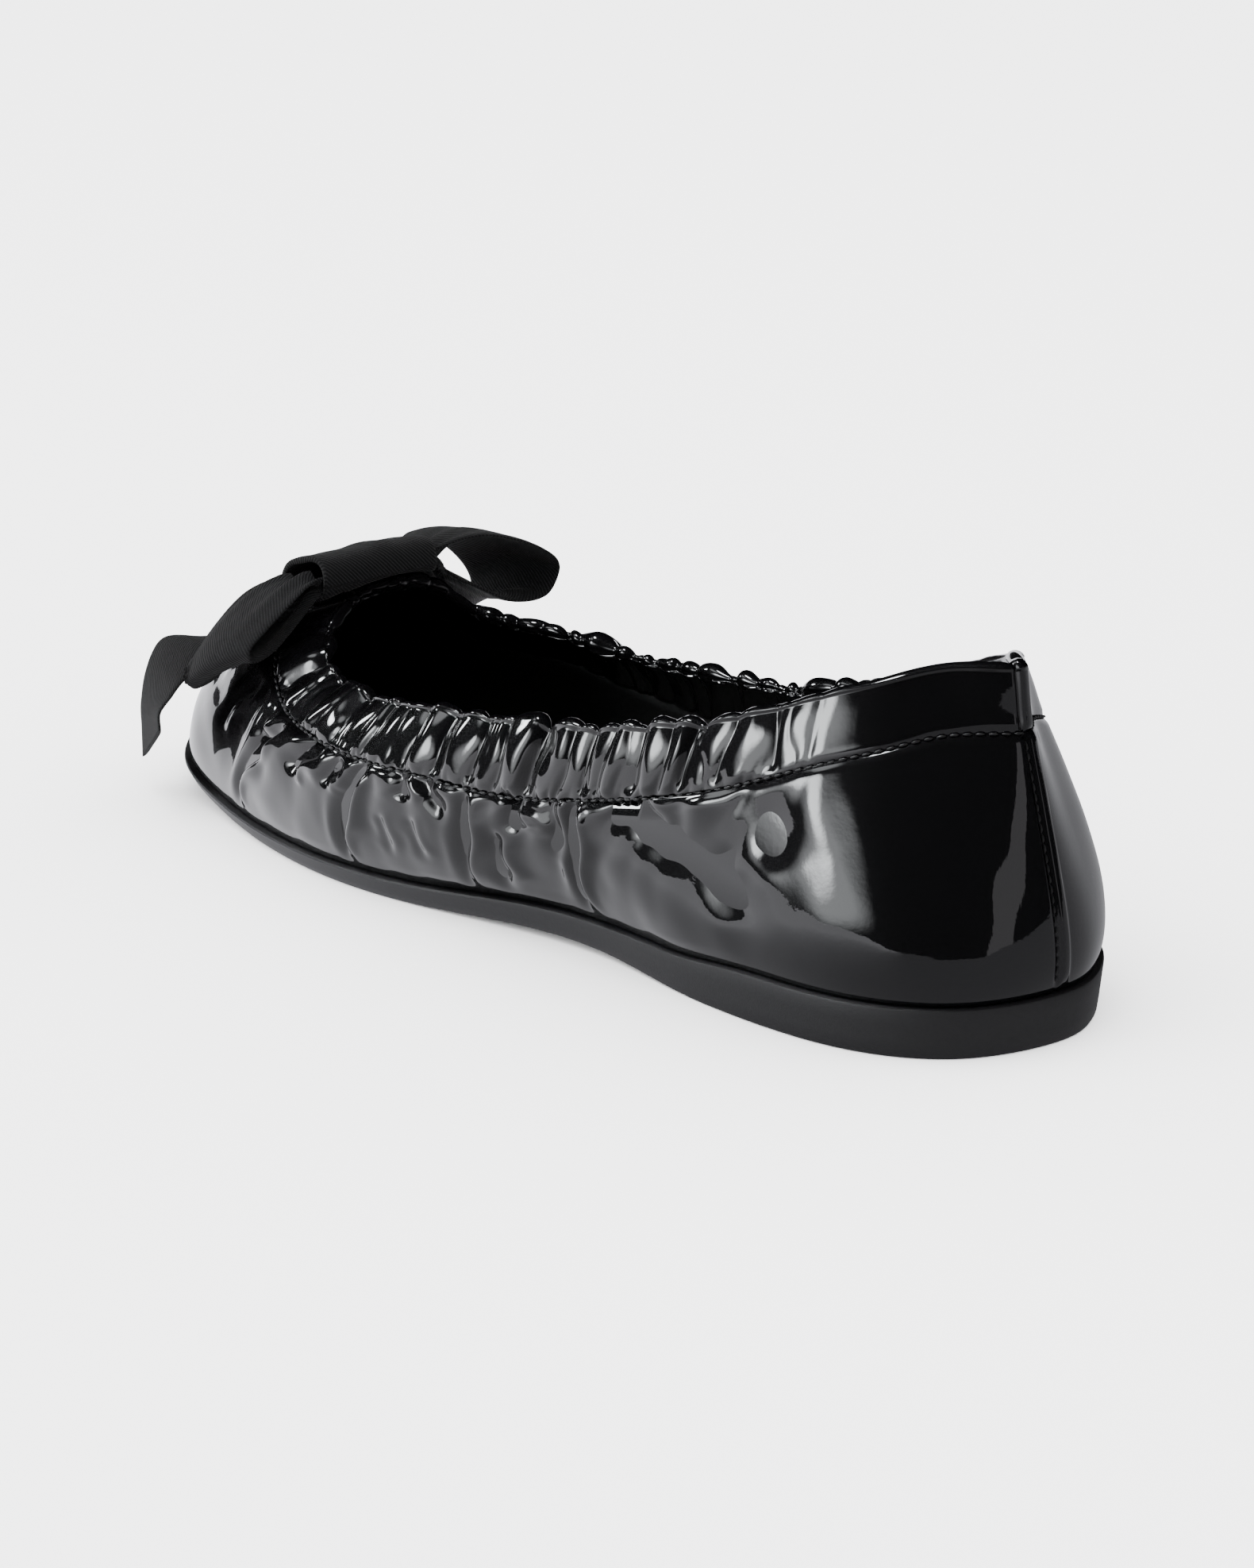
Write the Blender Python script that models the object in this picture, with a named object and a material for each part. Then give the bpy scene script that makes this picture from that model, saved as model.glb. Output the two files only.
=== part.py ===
"""Ballet flat, left shoe, empty and standing on its sole.

Frame: +Y to the toe, +X to the wearer's right (the medial side of a left shoe), +Z up.
The origin is the middle of the heel's flat underside. Units are metres.
"""

import math
from collections import namedtuple

import bmesh
import bpy
import numpy as np
from mathutils import Vector
from mathutils.bvhtree import BVHTree

# Sole
LENGTH = 0.248
BALL_WIDTH = 0.0790
WAIST_WIDTH = 0.0544
HEEL_WIDTH = 0.0684
TOE_WIDTH = 0.0620
HEEL_THICK = 0.0096
WAIST_THICK = 0.0055
BALL_THICK = 0.0038
TOE_THICK = 0.0028
ARCH_RISE = 0.0014
TOE_SPRING = 0.0053
SOLE_TUCK = 0.0012
EDGE_ROUND = 0.0006

# Upper, heights above the floor
BACK_HEIGHT = 0.0685
SIDE_HEIGHT = 0.0435
THROAT_HEIGHT = 0.0445
WALL = 0.0015
FEATHER_INSET = 0.0013
CASING_WIDTH = 0.0140
CASING_THICK = 0.0030

# Insole
INSOLE_THICK = 0.0024
INSOLE_CLEARANCE = 0.0004

# Ribbon bow. It starts BOW_SETBACK behind the throat's crest, RIBBON_RISE above it.
RIBBON_WIDTH = 0.0250
RIBBON_THICK = 0.0011
KNOT_LENGTH = 0.0270
KNOT_HEIGHT = 0.0110
KNOT_WRAP = 0.0008
RIBBON_RISE = 0.0004
BOW_SETBACK = 0.0008
KNOT_SIDE_GAP = 0.0006
LATERAL_LOOP_REACH = 0.0190
MEDIAL_LOOP_REACH = 0.0285
LOOP_DROOP = 0.0170
TAIL_REACH = 0.0210
TAIL_DROP = 0.0245

# Faces that touch keep this gap
SEAT_GAP = 0.0003

# The casing's shoulders lie this share of its thickness below its edge
CASING_EASE = 0.25

# The knot's section: its widest level as a share of its height, how square it is, and over what
# share of its length its underside looks for the vamp below
KNOT_WAIST = 0.40
KNOT_SQUARE = 0.60
KNOT_ROUND = 0.75
KNOT_REACH = 0.08

# Where the sole's underside leaves the floor, as shares of LENGTH
HEEL_REST_AT = 0.130
ARCH_FROM = 0.240
ARCH_TO = 0.600
TOE_SPRING_FROM = 0.746

WIDTHS = {"heel": HEEL_WIDTH, "waist": WAIST_WIDTH, "ball": BALL_WIDTH, "toe": TOE_WIDTH}
LEVELS = {"back": BACK_HEIGHT, "side": SIDE_HEIGHT, "throat": THROAT_HEIGHT}
THICKS = {"heel": HEEL_THICK, "waist": WAIST_THICK, "ball": BALL_THICK, "toe": TOE_THICK}

# One row for each section around the last, from the back seam along the lateral side to the toe
# and back along the medial side. along and top_along are shares of LENGTH, out and top_out of the
# row's width, top_up of its level. low_reach and high_reach swell the wall outward, as shares of
# the row's width; low_rise and high_drop set at what share of the wall's height they do it.
Section = namedtuple(
    "Section",
    "width along out top_along top_out level top_up"
    " low_reach low_rise high_reach high_drop casing",
)
SECTIONS = [
    Section("heel", 0.000, 0.000, 0.046, 0.000, "back", 1.000, 0.078, 0.17, 0.030, 0.33, 0.90),
    Section("heel", 0.018, -0.265, 0.080, -0.112, "back", 0.995, 0.090, 0.19, 0.065, 0.33, 0.92),
    Section("heel", 0.080, -0.440, 0.117, -0.238, "back", 0.950, 0.088, 0.22, 0.096, 0.33, 0.95),
    Section("heel", 0.165, -0.498, 0.171, -0.335, "back", 0.878, 0.070, 0.20, 0.100, 0.33, 1.00),
    Section("heel", 0.265, -0.492, 0.245, -0.412, "back", 0.778, 0.070, 0.22, 0.110, 0.33, 1.05),
    Section("waist", 0.365, -0.575, 0.334, -0.575, "side", 1.105, 0.130, 0.28, 0.120, 0.33, 1.12),
    Section("waist", 0.460, -0.610, 0.428, -0.592, "side", 0.998, 0.150, 0.28, 0.130, 0.33, 1.14),
    Section("ball", 0.560, -0.478, 0.528, -0.420, "side", 0.935, 0.075, 0.30, 0.130, 0.30, 1.08),
    Section("ball", 0.660, -0.504, 0.614, -0.400, "side", 0.860, 0.050, 0.32, 0.150, 0.26, 1.02),
    Section("ball", 0.760, -0.464, 0.688, -0.335, "side", 0.812, 0.045, 0.34, 0.170, 0.20, 1.00),
    Section("toe", 0.850, -0.500, 0.7385, -0.340, "throat", 0.805, 0.040, 0.36, 0.200, 0.14, 1.00),
    Section("toe", 0.925, -0.390, 0.771, -0.240, "throat", 0.885, 0.035, 0.38, 0.250, 0.08, 1.00),
    Section("toe", 0.976, -0.215, 0.788, -0.120, "throat", 0.950, 0.035, 0.40, 0.280, 0.02, 1.00),
    Section("toe", 1.000, 0.010, 0.795, 0.000, "throat", 0.985, 0.035, 0.42, 0.300, 0.00, 1.00),
    Section("toe", 0.976, 0.245, 0.794, 0.120, "throat", 0.990, 0.035, 0.40, 0.280, 0.02, 1.00),
    Section("toe", 0.925, 0.420, 0.788, 0.235, "throat", 0.940, 0.035, 0.38, 0.250, 0.08, 1.00),
    Section("toe", 0.850, 0.525, 0.766, 0.340, "throat", 0.820, 0.040, 0.36, 0.200, 0.14, 1.00),
    Section("ball", 0.770, 0.480, 0.717, 0.335, "side", 0.812, 0.045, 0.34, 0.170, 0.20, 1.00),
    Section("ball", 0.680, 0.488, 0.647, 0.372, "side", 0.790, 0.050, 0.32, 0.150, 0.26, 1.00),
    Section("ball", 0.585, 0.425, 0.561, 0.372, "side", 0.818, 0.075, 0.30, 0.130, 0.30, 1.02),
    Section("waist", 0.485, 0.490, 0.465, 0.515, "side", 0.878, 0.150, 0.28, 0.130, 0.33, 1.06),
    Section("waist", 0.390, 0.428, 0.374, 0.490, "side", 0.965, 0.150, 0.28, 0.120, 0.33, 1.10),
    Section("heel", 0.290, 0.400, 0.265, 0.395, "back", 0.733, 0.078, 0.22, 0.110, 0.33, 1.05),
    Section("heel", 0.180, 0.470, 0.172, 0.329, "back", 0.860, 0.070, 0.20, 0.100, 0.33, 1.00),
    Section("heel", 0.085, 0.415, 0.117, 0.238, "back", 0.930, 0.090, 0.22, 0.098, 0.33, 0.95),
    Section("heel", 0.020, 0.210, 0.080, 0.110, "back", 0.985, 0.084, 0.18, 0.048, 0.33, 0.92),
]

# Thickness of the sole's side: where, as a share of LENGTH, and which thickness it has there
SoleSide = namedtuple("SoleSide", "along thick share")
SOLE_SIDE = [
    SoleSide(0.00, "heel", 1.00),
    SoleSide(0.17, "heel", 1.00),
    SoleSide(0.29, "heel", 0.77),
    SoleSide(0.40, "waist", 1.00),
    SoleSide(0.55, "ball", 1.18),
    SoleSide(0.70, "ball", 1.00),
    SoleSide(0.84, "toe", 1.14),
    SoleSide(1.00, "toe", 1.00),
]

# The ribbon pieces: a row for each place along the strip's middle line, from the knot's side.
# out is a share of the piece's reach and up of its droop, measured from the knot's side and its
# middle height; fore and wide are shares of the ribbon's width. yaw turns the front edge towards
# the shoe's middle, pitch lowers it, in degrees.
Fold = namedtuple("Fold", "out fore up wide yaw pitch")
LATERAL_LOOP = [
    Fold(0.00, 0.00, 0.14, 0.56, 0, 14),
    Fold(0.08, 0.05, 0.12, 0.66, 0, 14),
    Fold(0.24, 0.13, 0.00, 0.84, 0, 15),
    Fold(0.50, 0.16, -0.23, 0.92, -2, 17),
    Fold(0.76, 0.16, -0.48, 0.92, -4, 20),
    Fold(0.97, 0.12, -0.70, 0.88, -8, 27),
    Fold(1.00, 0.08, -0.80, 0.80, -8, 29),
    Fold(0.92, 0.05, -0.86, 0.74, -6, 29),
    Fold(0.64, 0.06, -0.76, 0.74, -2, 27),
    Fold(0.28, 0.08, -0.43, 0.74, 0, 20),
    Fold(0.08, 0.05, -0.16, 0.66, 0, 14),
    Fold(0.00, 0.00, -0.13, 0.56, 0, 14),
]
MEDIAL_LOOP = [
    Fold(0.00, 0.00, 0.14, 0.56, 0, 14),
    Fold(0.06, 0.05, 0.15, 0.66, 0, 13),
    Fold(0.24, 0.15, 0.20, 0.86, 0, 10),
    Fold(0.48, 0.21, 0.18, 1.00, 2, 8),
    Fold(0.78, 0.21, -0.04, 1.00, 8, 11),
    Fold(0.97, 0.19, -0.31, 0.96, 15, 14),
    Fold(1.00, 0.17, -0.56, 0.90, 17, 15),
    Fold(0.88, 0.13, -0.80, 0.84, 14, 15),
    Fold(0.62, 0.12, -0.74, 0.80, 8, 13),
    Fold(0.30, 0.10, -0.36, 0.76, 0, 11),
    Fold(0.06, 0.05, -0.15, 0.66, 0, 13),
    Fold(0.00, 0.00, -0.13, 0.56, 0, 14),
]
TAIL = [
    Fold(0.00, 0.10, -0.18, 0.56, 0, 17),
    Fold(0.05, 0.16, -0.22, 0.60, 6, 17),
    Fold(0.19, 0.42, -0.42, 0.74, 22, 14),
    Fold(0.36, 0.70, -0.55, 0.82, 16, 4),
    Fold(0.57, 0.88, -0.57, 0.84, 8, 1),
    Fold(0.80, 0.92, -0.75, 0.84, 12, 5),
    Fold(0.94, 0.92, -0.96, 0.86, 18, 4),
    Fold(1.00, 0.92, -1.12, 0.88, 24, 2),
    Fold(1.00, 0.92, -1.32, 0.90, 25, 0),
]

# The tail's end is cut this much aslant, over this share of its length
TAIL_CUT = 0.0060
TAIL_CUT_RAMP = 0.40

# The strips are arched across their width by CROWN, growing over CROWN_RAMP of their length. A
# strip that runs less than LIFT_MOST into what is under it is laid on top of it.
CROWN = 0.0026
TAIL_CROWN = 0.0008
CROWN_RAMP = 0.40
LIFT_MOST = 0.0060

# Rays that look down for what carries a strip start this high, and the wall's slope is read over
# this share of its section
SKY = 0.5
SLOPE_STEP = 0.004

STEPS_PER_SECTION = 3
WALL_ROWS = 8
CASING_ROWS = 4
RIBBON_STEPS = 26
RIBBON_ROWS = 4
KNOT_ROWS = 7
KNOT_ROUND_STEPS = 20


def clear_scene():
    for thing in list(bpy.data.objects):
        bpy.data.objects.remove(thing, do_unlink=True)


def material(name, colour, roughness, coat):
    made = bpy.data.materials.new(name)
    made.use_nodes = True
    shader = made.node_tree.nodes["Principled BSDF"]
    shader.inputs["Base Color"].default_value = (*colour, 1.0)
    shader.inputs["Roughness"].default_value = roughness
    shader.inputs["Metallic"].default_value = 0.0
    shader.inputs["Coat Weight"].default_value = coat
    return made


def hermite(start, end, start_slope, end_slope, t):
    return (
        (2 * t**3 - 3 * t**2 + 1) * start
        + (t**3 - 2 * t**2 + t) * start_slope
        + (3 * t**2 - 2 * t**3) * end
        + (t**3 - t**2) * end_slope
    )


def closed_curve(rows, steps):
    """Smooth closed curve through the rows, with steps points from each row to the next."""
    rows = np.array(rows, dtype=float)
    count = len(rows)
    matrix = np.zeros((count, count))
    right = np.zeros(rows.shape)
    for i in range(count):
        matrix[i, i] = 4.0
        matrix[i, i - 1] = 1.0
        matrix[i, (i + 1) % count] = 1.0
        right[i] = 3.0 * (rows[(i + 1) % count] - rows[i - 1])
    slopes = np.linalg.solve(matrix, right)
    points = []
    for i in range(count):
        after = (i + 1) % count
        for k in range(steps):
            points.append(hermite(rows[i], rows[after], slopes[i], slopes[after], k / steps))
    return np.array(points)


def open_curve(rows, steps):
    """Smooth open curve through the rows, read at steps + 1 even places."""
    rows = np.array(rows, dtype=float)
    count = len(rows)
    slopes = np.zeros(rows.shape)
    slopes[1:-1] = (rows[2:] - rows[:-2]) / 2
    slopes[0] = rows[1] - rows[0]
    slopes[-1] = rows[-1] - rows[-2]
    points = []
    for place in np.linspace(0, count - 1, steps + 1):
        i = min(int(place), count - 2)
        points.append(hermite(rows[i], rows[i + 1], slopes[i], slopes[i + 1], place - i))
    return np.array(points)


def smooth_steps(xs, ys, x):
    """Curve through the points (xs, ys) that never runs past them, read at x."""
    xs = np.array(xs)
    ys = np.array(ys)
    gaps = np.diff(xs)
    rises = np.diff(ys) / gaps
    slopes = np.zeros(len(xs))
    for i in range(1, len(xs) - 1):
        if rises[i - 1] * rises[i] > 0:
            slopes[i] = 2 * rises[i - 1] * rises[i] / (rises[i - 1] + rises[i])
    x = np.clip(x, xs[0], xs[-1])
    i = np.clip(np.searchsorted(xs, x) - 1, 0, len(gaps) - 1)
    return hermite(
        ys[i], ys[i + 1], slopes[i] * gaps[i], slopes[i + 1] * gaps[i], (x - xs[i]) / gaps[i]
    )


def sole_bottom(y):
    """Height of the underside above the floor, y from the heel's back end."""
    along = np.asarray(y) / LENGTH
    arch = np.clip((along - ARCH_FROM) / (ARCH_TO - ARCH_FROM), 0, 1)
    toe = np.clip((along - TOE_SPRING_FROM) / (1 - TOE_SPRING_FROM), 0, None)
    return ARCH_RISE * np.sin(math.pi * arch) ** 2 + TOE_SPRING * toe**2


def sole_top(y):
    thick = smooth_steps(
        [row.along for row in SOLE_SIDE],
        [row.share * THICKS[row.thick] for row in SOLE_SIDE],
        np.asarray(y) / LENGTH,
    )
    return sole_bottom(y) + thick


def outward(loop):
    """Unit normals of a loop in plan, pointing away from the shoe's inside."""
    along = np.roll(loop[:, :2], -1, axis=0) - np.roll(loop[:, :2], 1, axis=0)
    along /= np.linalg.norm(along, axis=1)[:, None]
    normals = np.column_stack([-along[:, 1], along[:, 0]])
    if normals[0, 1] > 0:
        normals = -normals
    return normals


def sole_edge():
    return closed_curve(
        [(row.out * WIDTHS[row.width], row.along * LENGTH) for row in SECTIONS],
        STEPS_PER_SECTION,
    )


def collar_line():
    return closed_curve(
        [
            (
                row.top_out * WIDTHS[row.width],
                row.top_along * LENGTH,
                row.top_up * LEVELS[row.level],
            )
            for row in SECTIONS
        ],
        STEPS_PER_SECTION,
    )


def wall_handles():
    """Corner points, foot to collar, of the curve that each wall section follows."""
    shape = closed_curve(
        [
            (
                row.low_reach * WIDTHS[row.width],
                row.low_rise,
                row.high_reach * WIDTHS[row.width],
                row.high_drop,
            )
            for row in SECTIONS
        ],
        STEPS_PER_SECTION,
    )
    edge = sole_edge()
    top = collar_line()
    foot_out = outward(edge)
    top_out = outward(top)
    foot = edge - foot_out * FEATHER_INSET
    foot_z = sole_top(foot[:, 1]) + SEAT_GAP
    tall = top[:, 2] - foot_z
    low = foot + foot_out * shape[:, 0:1]
    high = top[:, :2] + top_out * shape[:, 2:3]
    return (
        np.column_stack([foot, foot_z]),
        np.column_stack([low, foot_z + tall * shape[:, 1]]),
        np.column_stack([high, top[:, 2] - tall * shape[:, 3]]),
        top,
    )


def wall_point(corners, t):
    foot, low, high, top = corners
    t = np.reshape(t, (-1, 1))
    return (
        (1 - t) ** 3 * foot
        + 3 * (1 - t) ** 2 * t * low
        + 3 * (1 - t) * t**2 * high
        + t**3 * top
    )


def seam_places(corners, down):
    """Where on each section's curve the wall is down metres below the collar's edge."""
    fine = np.linspace(0, 1, 101)
    rows = np.array([wall_point(corners, np.full(len(corners[0]), t)) for t in fine])
    lengths = np.linalg.norm(np.diff(rows, axis=0), axis=2)
    below = np.vstack([np.cumsum(lengths[::-1], axis=0)[::-1], np.zeros(len(down))])
    return np.array(
        [np.interp(down[i], below[::-1, i], fine[::-1]) for i in range(len(down))]
    )


def wall_rows(corners, start, end, rows):
    """Rows of points on the wall's outer face between two places, with their normals."""
    points = []
    normals = []
    for share in np.linspace(0, 1, rows):
        t = start + (end - start) * share
        here = wall_point(corners, t)
        up = wall_point(corners, t + SLOPE_STEP) - wall_point(corners, t - SLOPE_STEP)
        around = np.roll(here, -1, axis=0) - np.roll(here, 1, axis=0)
        normal = np.cross(up, around)
        normal /= np.linalg.norm(normal, axis=1)[:, None]
        if normal[0, 1] > 0:
            normal = -normal
        points.append(here)
        normals.append(normal)
    return points, normals


def finish(name, mesh_builder, collection, look):
    bmesh.ops.recalc_face_normals(mesh_builder, faces=mesh_builder.faces)
    if mesh_builder.calc_volume(signed=True) < 0:
        bmesh.ops.reverse_faces(mesh_builder, faces=mesh_builder.faces)
    mesh = bpy.data.meshes.new(name)
    mesh_builder.to_mesh(mesh)
    mesh_builder.free()
    mesh.shade_smooth()
    mesh.set_sharp_from_angle(angle=math.radians(50))
    mesh.materials.append(look)
    made = bpy.data.objects.new(name, mesh)
    collection.objects.link(made)
    return made


def from_heel_rest(points):
    """Moves points from the heel's back end to the part's own origin."""
    moved = np.array(points, dtype=float)
    moved[:, 1] -= HEEL_REST_AT * LENGTH
    return moved


def add_rings(builder, rings):
    """Adds rings of points and the faces between each ring and the next."""
    made = [[builder.verts.new(point) for point in from_heel_rest(ring)] for ring in rings]
    count = len(made[0])
    for lower, upper in zip(made[:-1], made[1:]):
        for i in range(count):
            after = (i + 1) % count
            builder.faces.new((lower[i], lower[after], upper[after], upper[i]))
    return made


def close_ring(builder, first, last):
    count = len(first)
    for i in range(count):
        after = (i + 1) % count
        builder.faces.new((last[i], last[after], first[after], first[i]))


def close_across(builder, ring):
    """Fills a ring with strips from its lateral side to its medial side."""
    count = len(ring)
    builder.faces.new((ring[0], ring[1], ring[-1]))
    for i in range(1, count // 2 - 1):
        builder.faces.new((ring[i], ring[i + 1], ring[count - i - 1], ring[count - i]))
    middle = count // 2
    builder.faces.new((ring[middle - 1], ring[middle], ring[middle + 1]))


def inset(loop, normals, depth, heights):
    return np.column_stack([loop - normals * depth, heights(loop[:, 1])])


def build_outsole(collection, look):
    """Rubber unit sole, thicker under the heel, with rounded edges and a tucked-in foot."""
    edge = sole_edge()
    normals = outward(edge)
    under = inset(edge, normals, SOLE_TUCK + EDGE_ROUND, sole_bottom)
    low = inset(edge, normals, SOLE_TUCK, sole_bottom)
    low[:, 2] += EDGE_ROUND
    high = inset(edge, normals, 0.0, sole_top)
    high[:, 2] -= EDGE_ROUND
    over = inset(edge, normals, EDGE_ROUND, sole_top)
    builder = bmesh.new()
    rings = add_rings(builder, [under, low, high, over])
    close_across(builder, rings[0])
    close_across(builder, rings[-1])
    return finish("outsole", builder, collection, look)


def build_insole(collection, look):
    """Padded sock that lies on the sole inside the upper's foot."""
    edge = sole_edge()
    normals = outward(edge)
    depth = FEATHER_INSET + WALL + INSOLE_CLEARANCE
    low = inset(edge, normals, depth, sole_top)
    low[:, 2] += SEAT_GAP
    high = low + (0, 0, INSOLE_THICK - EDGE_ROUND)
    over = inset(edge, normals, depth + EDGE_ROUND, sole_top)
    over[:, 2] += SEAT_GAP + INSOLE_THICK
    builder = bmesh.new()
    rings = add_rings(builder, [low, high, over])
    close_across(builder, rings[0])
    close_across(builder, rings[-1])
    return finish("insole", builder, collection, look)


def build_upper(collection, look, corners, seam):
    """Vamp and quarters: one wall from the sole to the casing, open above and below."""
    points, normals = wall_rows(corners, np.zeros(len(seam)), seam, WALL_ROWS)
    foot_normals = outward(points[0])
    inner = [here - normal * WALL for here, normal in zip(points, normals)]
    inner[0] = np.column_stack([points[0][:, :2] - foot_normals * WALL, points[0][:, 2]])
    builder = bmesh.new()
    rings = add_rings(builder, points + inner[::-1])
    close_ring(builder, rings[0], rings[-1])
    return finish("upper", builder, collection, look)


def build_casing(collection, look, corners, seam):
    """Turned collar edge with its elastic inside, a step thicker than the wall below it."""
    points, normals = wall_rows(corners, seam, np.ones(len(seam)), CASING_ROWS)
    proud = (CASING_THICK - WALL) / 2
    seam_up = points[1] - points[0]
    seam_up /= np.linalg.norm(seam_up, axis=1)[:, None]
    edge_up = points[-1] - points[-2]
    edge_up /= np.linalg.norm(edge_up, axis=1)[:, None]
    points[0] = points[0] + seam_up * SEAT_GAP
    outer = [here + normal * proud for here, normal in zip(points, normals)]
    inner = [here - normal * (proud + WALL) for here, normal in zip(points, normals)]
    crown = (outer[-1] + inner[-1]) / 2
    outer[-1] = outer[-1] - edge_up * CASING_THICK * CASING_EASE
    inner[-1] = inner[-1] - edge_up * CASING_THICK * CASING_EASE
    builder = bmesh.new()
    rings = add_rings(builder, [*outer, crown, *inner[::-1]])
    close_ring(builder, rings[0], rings[-1])
    return finish("collar_casing", builder, collection, look)


def surface_under(*carriers):
    """Height of the highest carrier below a point given from the heel's back end."""
    trees = []
    for carrier in carriers:
        trees.append(
            BVHTree.FromPolygons(
                [vertex.co for vertex in carrier.data.vertices],
                [polygon.vertices for polygon in carrier.data.polygons],
            )
        )

    def height(x, y, around=0.0):
        heights = [0.0]
        for dx in (-around, 0.0, around):
            for dy in (-around, 0.0, around):
                start = Vector((x + dx, y + dy - HEEL_REST_AT * LENGTH, SKY))
                for tree in trees:
                    hit = tree.ray_cast(start, Vector((0, 0, -1)))[0]
                    if hit is not None:
                        heights.append(hit.z)
        return max(heights)

    return height


def ribbon_seat(corners):
    """Rear and front edge, in y, and middle height of the ribbon where it passes the knot."""
    throat = corners[3][len(corners[3]) // 2]
    root = LATERAL_LOOP[0]
    rear = throat[1] - BOW_SETBACK
    front = rear + RIBBON_WIDTH * root.wide * math.cos(math.radians(root.pitch))
    return rear, front, throat[2] + SEAT_GAP + RIBBON_RISE


def build_knot(collection, look, corners, height):
    """Band around the bow's middle, a rounded pad whose underside follows the vamp."""
    rear, front, ribbon_z = ribbon_seat(corners)
    middle = (rear + front) / 2
    slope = math.tan(math.radians(LATERAL_LOOP[0].pitch))
    deep = (front - rear) / 2 + KNOT_WRAP
    rings = []
    for across in np.linspace(-KNOT_LENGTH / 2, KNOT_LENGTH / 2, KNOT_ROWS):
        ring = []
        for k in range(KNOT_ROUND_STEPS):
            angle = 2 * math.pi * k / KNOT_ROUND_STEPS
            fore = -math.copysign(abs(math.cos(angle)) ** KNOT_SQUARE, math.cos(angle))
            rise = math.copysign(abs(math.sin(angle)) ** KNOT_ROUND, math.sin(angle))
            y = middle + deep * fore
            floor = height(across, y, KNOT_LENGTH * KNOT_REACH) + SEAT_GAP
            waist = ribbon_z - (y - middle) * slope
            reach = KNOT_HEIGHT * (1 - KNOT_WAIST) if rise >= 0 else waist - floor
            ring.append((across, y, waist + reach * rise))
        rings.append(np.array(ring))
    builder = bmesh.new()
    made = add_rings(builder, rings)
    builder.faces.new(made[0][::-1])
    builder.faces.new(made[-1])
    return finish("bow_knot", builder, collection, look)


def strip_points(folds, side, reach, droop, start, steps):
    """Middle line of a ribbon and the half of its width, at even places along it."""
    rows = open_curve(folds, steps)
    x0, y0, z0 = start
    middle = np.column_stack(
        [
            side * (x0 + rows[:, 0] * reach),
            y0 + rows[:, 1] * RIBBON_WIDTH,
            z0 + rows[:, 2] * droop,
        ]
    )
    yaw = np.radians(rows[:, 4])
    pitch = np.radians(rows[:, 5])
    half = (
        np.column_stack(
            [-side * np.sin(yaw) * np.cos(pitch), np.cos(yaw) * np.cos(pitch), -np.sin(pitch)]
        )
        * rows[:, 3:4]
        * RIBBON_WIDTH
        / 2
    )
    return middle, half


def build_strip(name, collection, look, middle, half, cut, height):
    """Ribbon along a middle line, crowned across its width, that lies on what is under it."""
    along = np.gradient(middle, axis=0)
    normal = np.cross(half, along)
    normal /= np.linalg.norm(normal, axis=1)[:, None]
    if normal[0, 2] < 0:
        normal = -normal
    upward = normal * normal[:, 2:3]
    last = len(middle) - 1
    sections = []
    for i in range(len(middle)):
        from_knot = i if cut else min(i, last - i)
        arch = (TAIL_CROWN if cut else CROWN) * min(1.0, from_knot / (last * CROWN_RAMP))
        slant = cut * max(0.0, (i / last - 1 + TAIL_CUT_RAMP) / TAIL_CUT_RAMP)
        rail = []
        for share in np.linspace(-1, 1, RIBBON_ROWS + 1):
            point = middle[i] + half[i] * share + upward[i] * arch * (1 - share**2)
            point = point - (0, 0, slant * share)
            floor = height(point[0], point[1], RIBBON_THICK) + SEAT_GAP + RIBBON_THICK
            if floor - point[2] < LIFT_MOST:
                point[2] = max(point[2], floor)
            rail.append(point)
        rail = np.array(rail)
        sections.append(np.vstack([rail, rail[::-1] - normal[i] * RIBBON_THICK]))
    builder = bmesh.new()
    made = add_rings(builder, sections)
    builder.faces.new(made[0][::-1])
    builder.faces.new(made[-1])
    return finish(name, builder, collection, look)


def main():
    clear_scene()
    collection = bpy.data.collections.new("ballet_flat")
    bpy.context.scene.collection.children.link(collection)

    rubber = material("sole_rubber", (0.018, 0.018, 0.020), 0.55, 0.0)
    sock = material("sock_lining", (0.012, 0.012, 0.013), 0.60, 0.0)
    patent = material("patent_leather", (0.006, 0.006, 0.008), 0.10, 1.0)
    casing = material("patent_casing", (0.008, 0.008, 0.010), 0.12, 1.0)
    ribbon = material("ribbon_twill", (0.016, 0.016, 0.018), 0.80, 0.0)

    corners = wall_handles()
    shares = closed_curve([(row.casing,) for row in SECTIONS], STEPS_PER_SECTION)[:, 0]
    seam = seam_places(corners, shares * CASING_WIDTH)

    build_outsole(collection, rubber)
    build_insole(collection, sock)
    upper = build_upper(collection, patent, corners, seam)
    collar = build_casing(collection, casing, corners, seam)

    height = surface_under(upper, collar)
    build_knot(collection, ribbon, corners, height)

    rear, front, ribbon_z = ribbon_seat(corners)
    start = (KNOT_LENGTH / 2 + KNOT_SIDE_GAP, (rear + front) / 2, ribbon_z)
    loops = {-1: (LATERAL_LOOP, LATERAL_LOOP_REACH), 1: (MEDIAL_LOOP, MEDIAL_LOOP_REACH)}
    for side, word in {-1: "lateral", 1: "medial"}.items():
        middle, half = strip_points(TAIL, side, TAIL_REACH, TAIL_DROP, start, RIBBON_STEPS)
        tail = build_strip(
            f"bow_tail_{word}", collection, ribbon, middle, half, TAIL_CUT, height
        )
        folds, reach = loops[side]
        over_tail = surface_under(upper, collar, tail)
        middle, half = strip_points(folds, side, reach, LOOP_DROOP, start, RIBBON_STEPS)
        build_strip(f"bow_loop_{word}", collection, ribbon, middle, half, 0.0, over_tail)


main()
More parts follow.
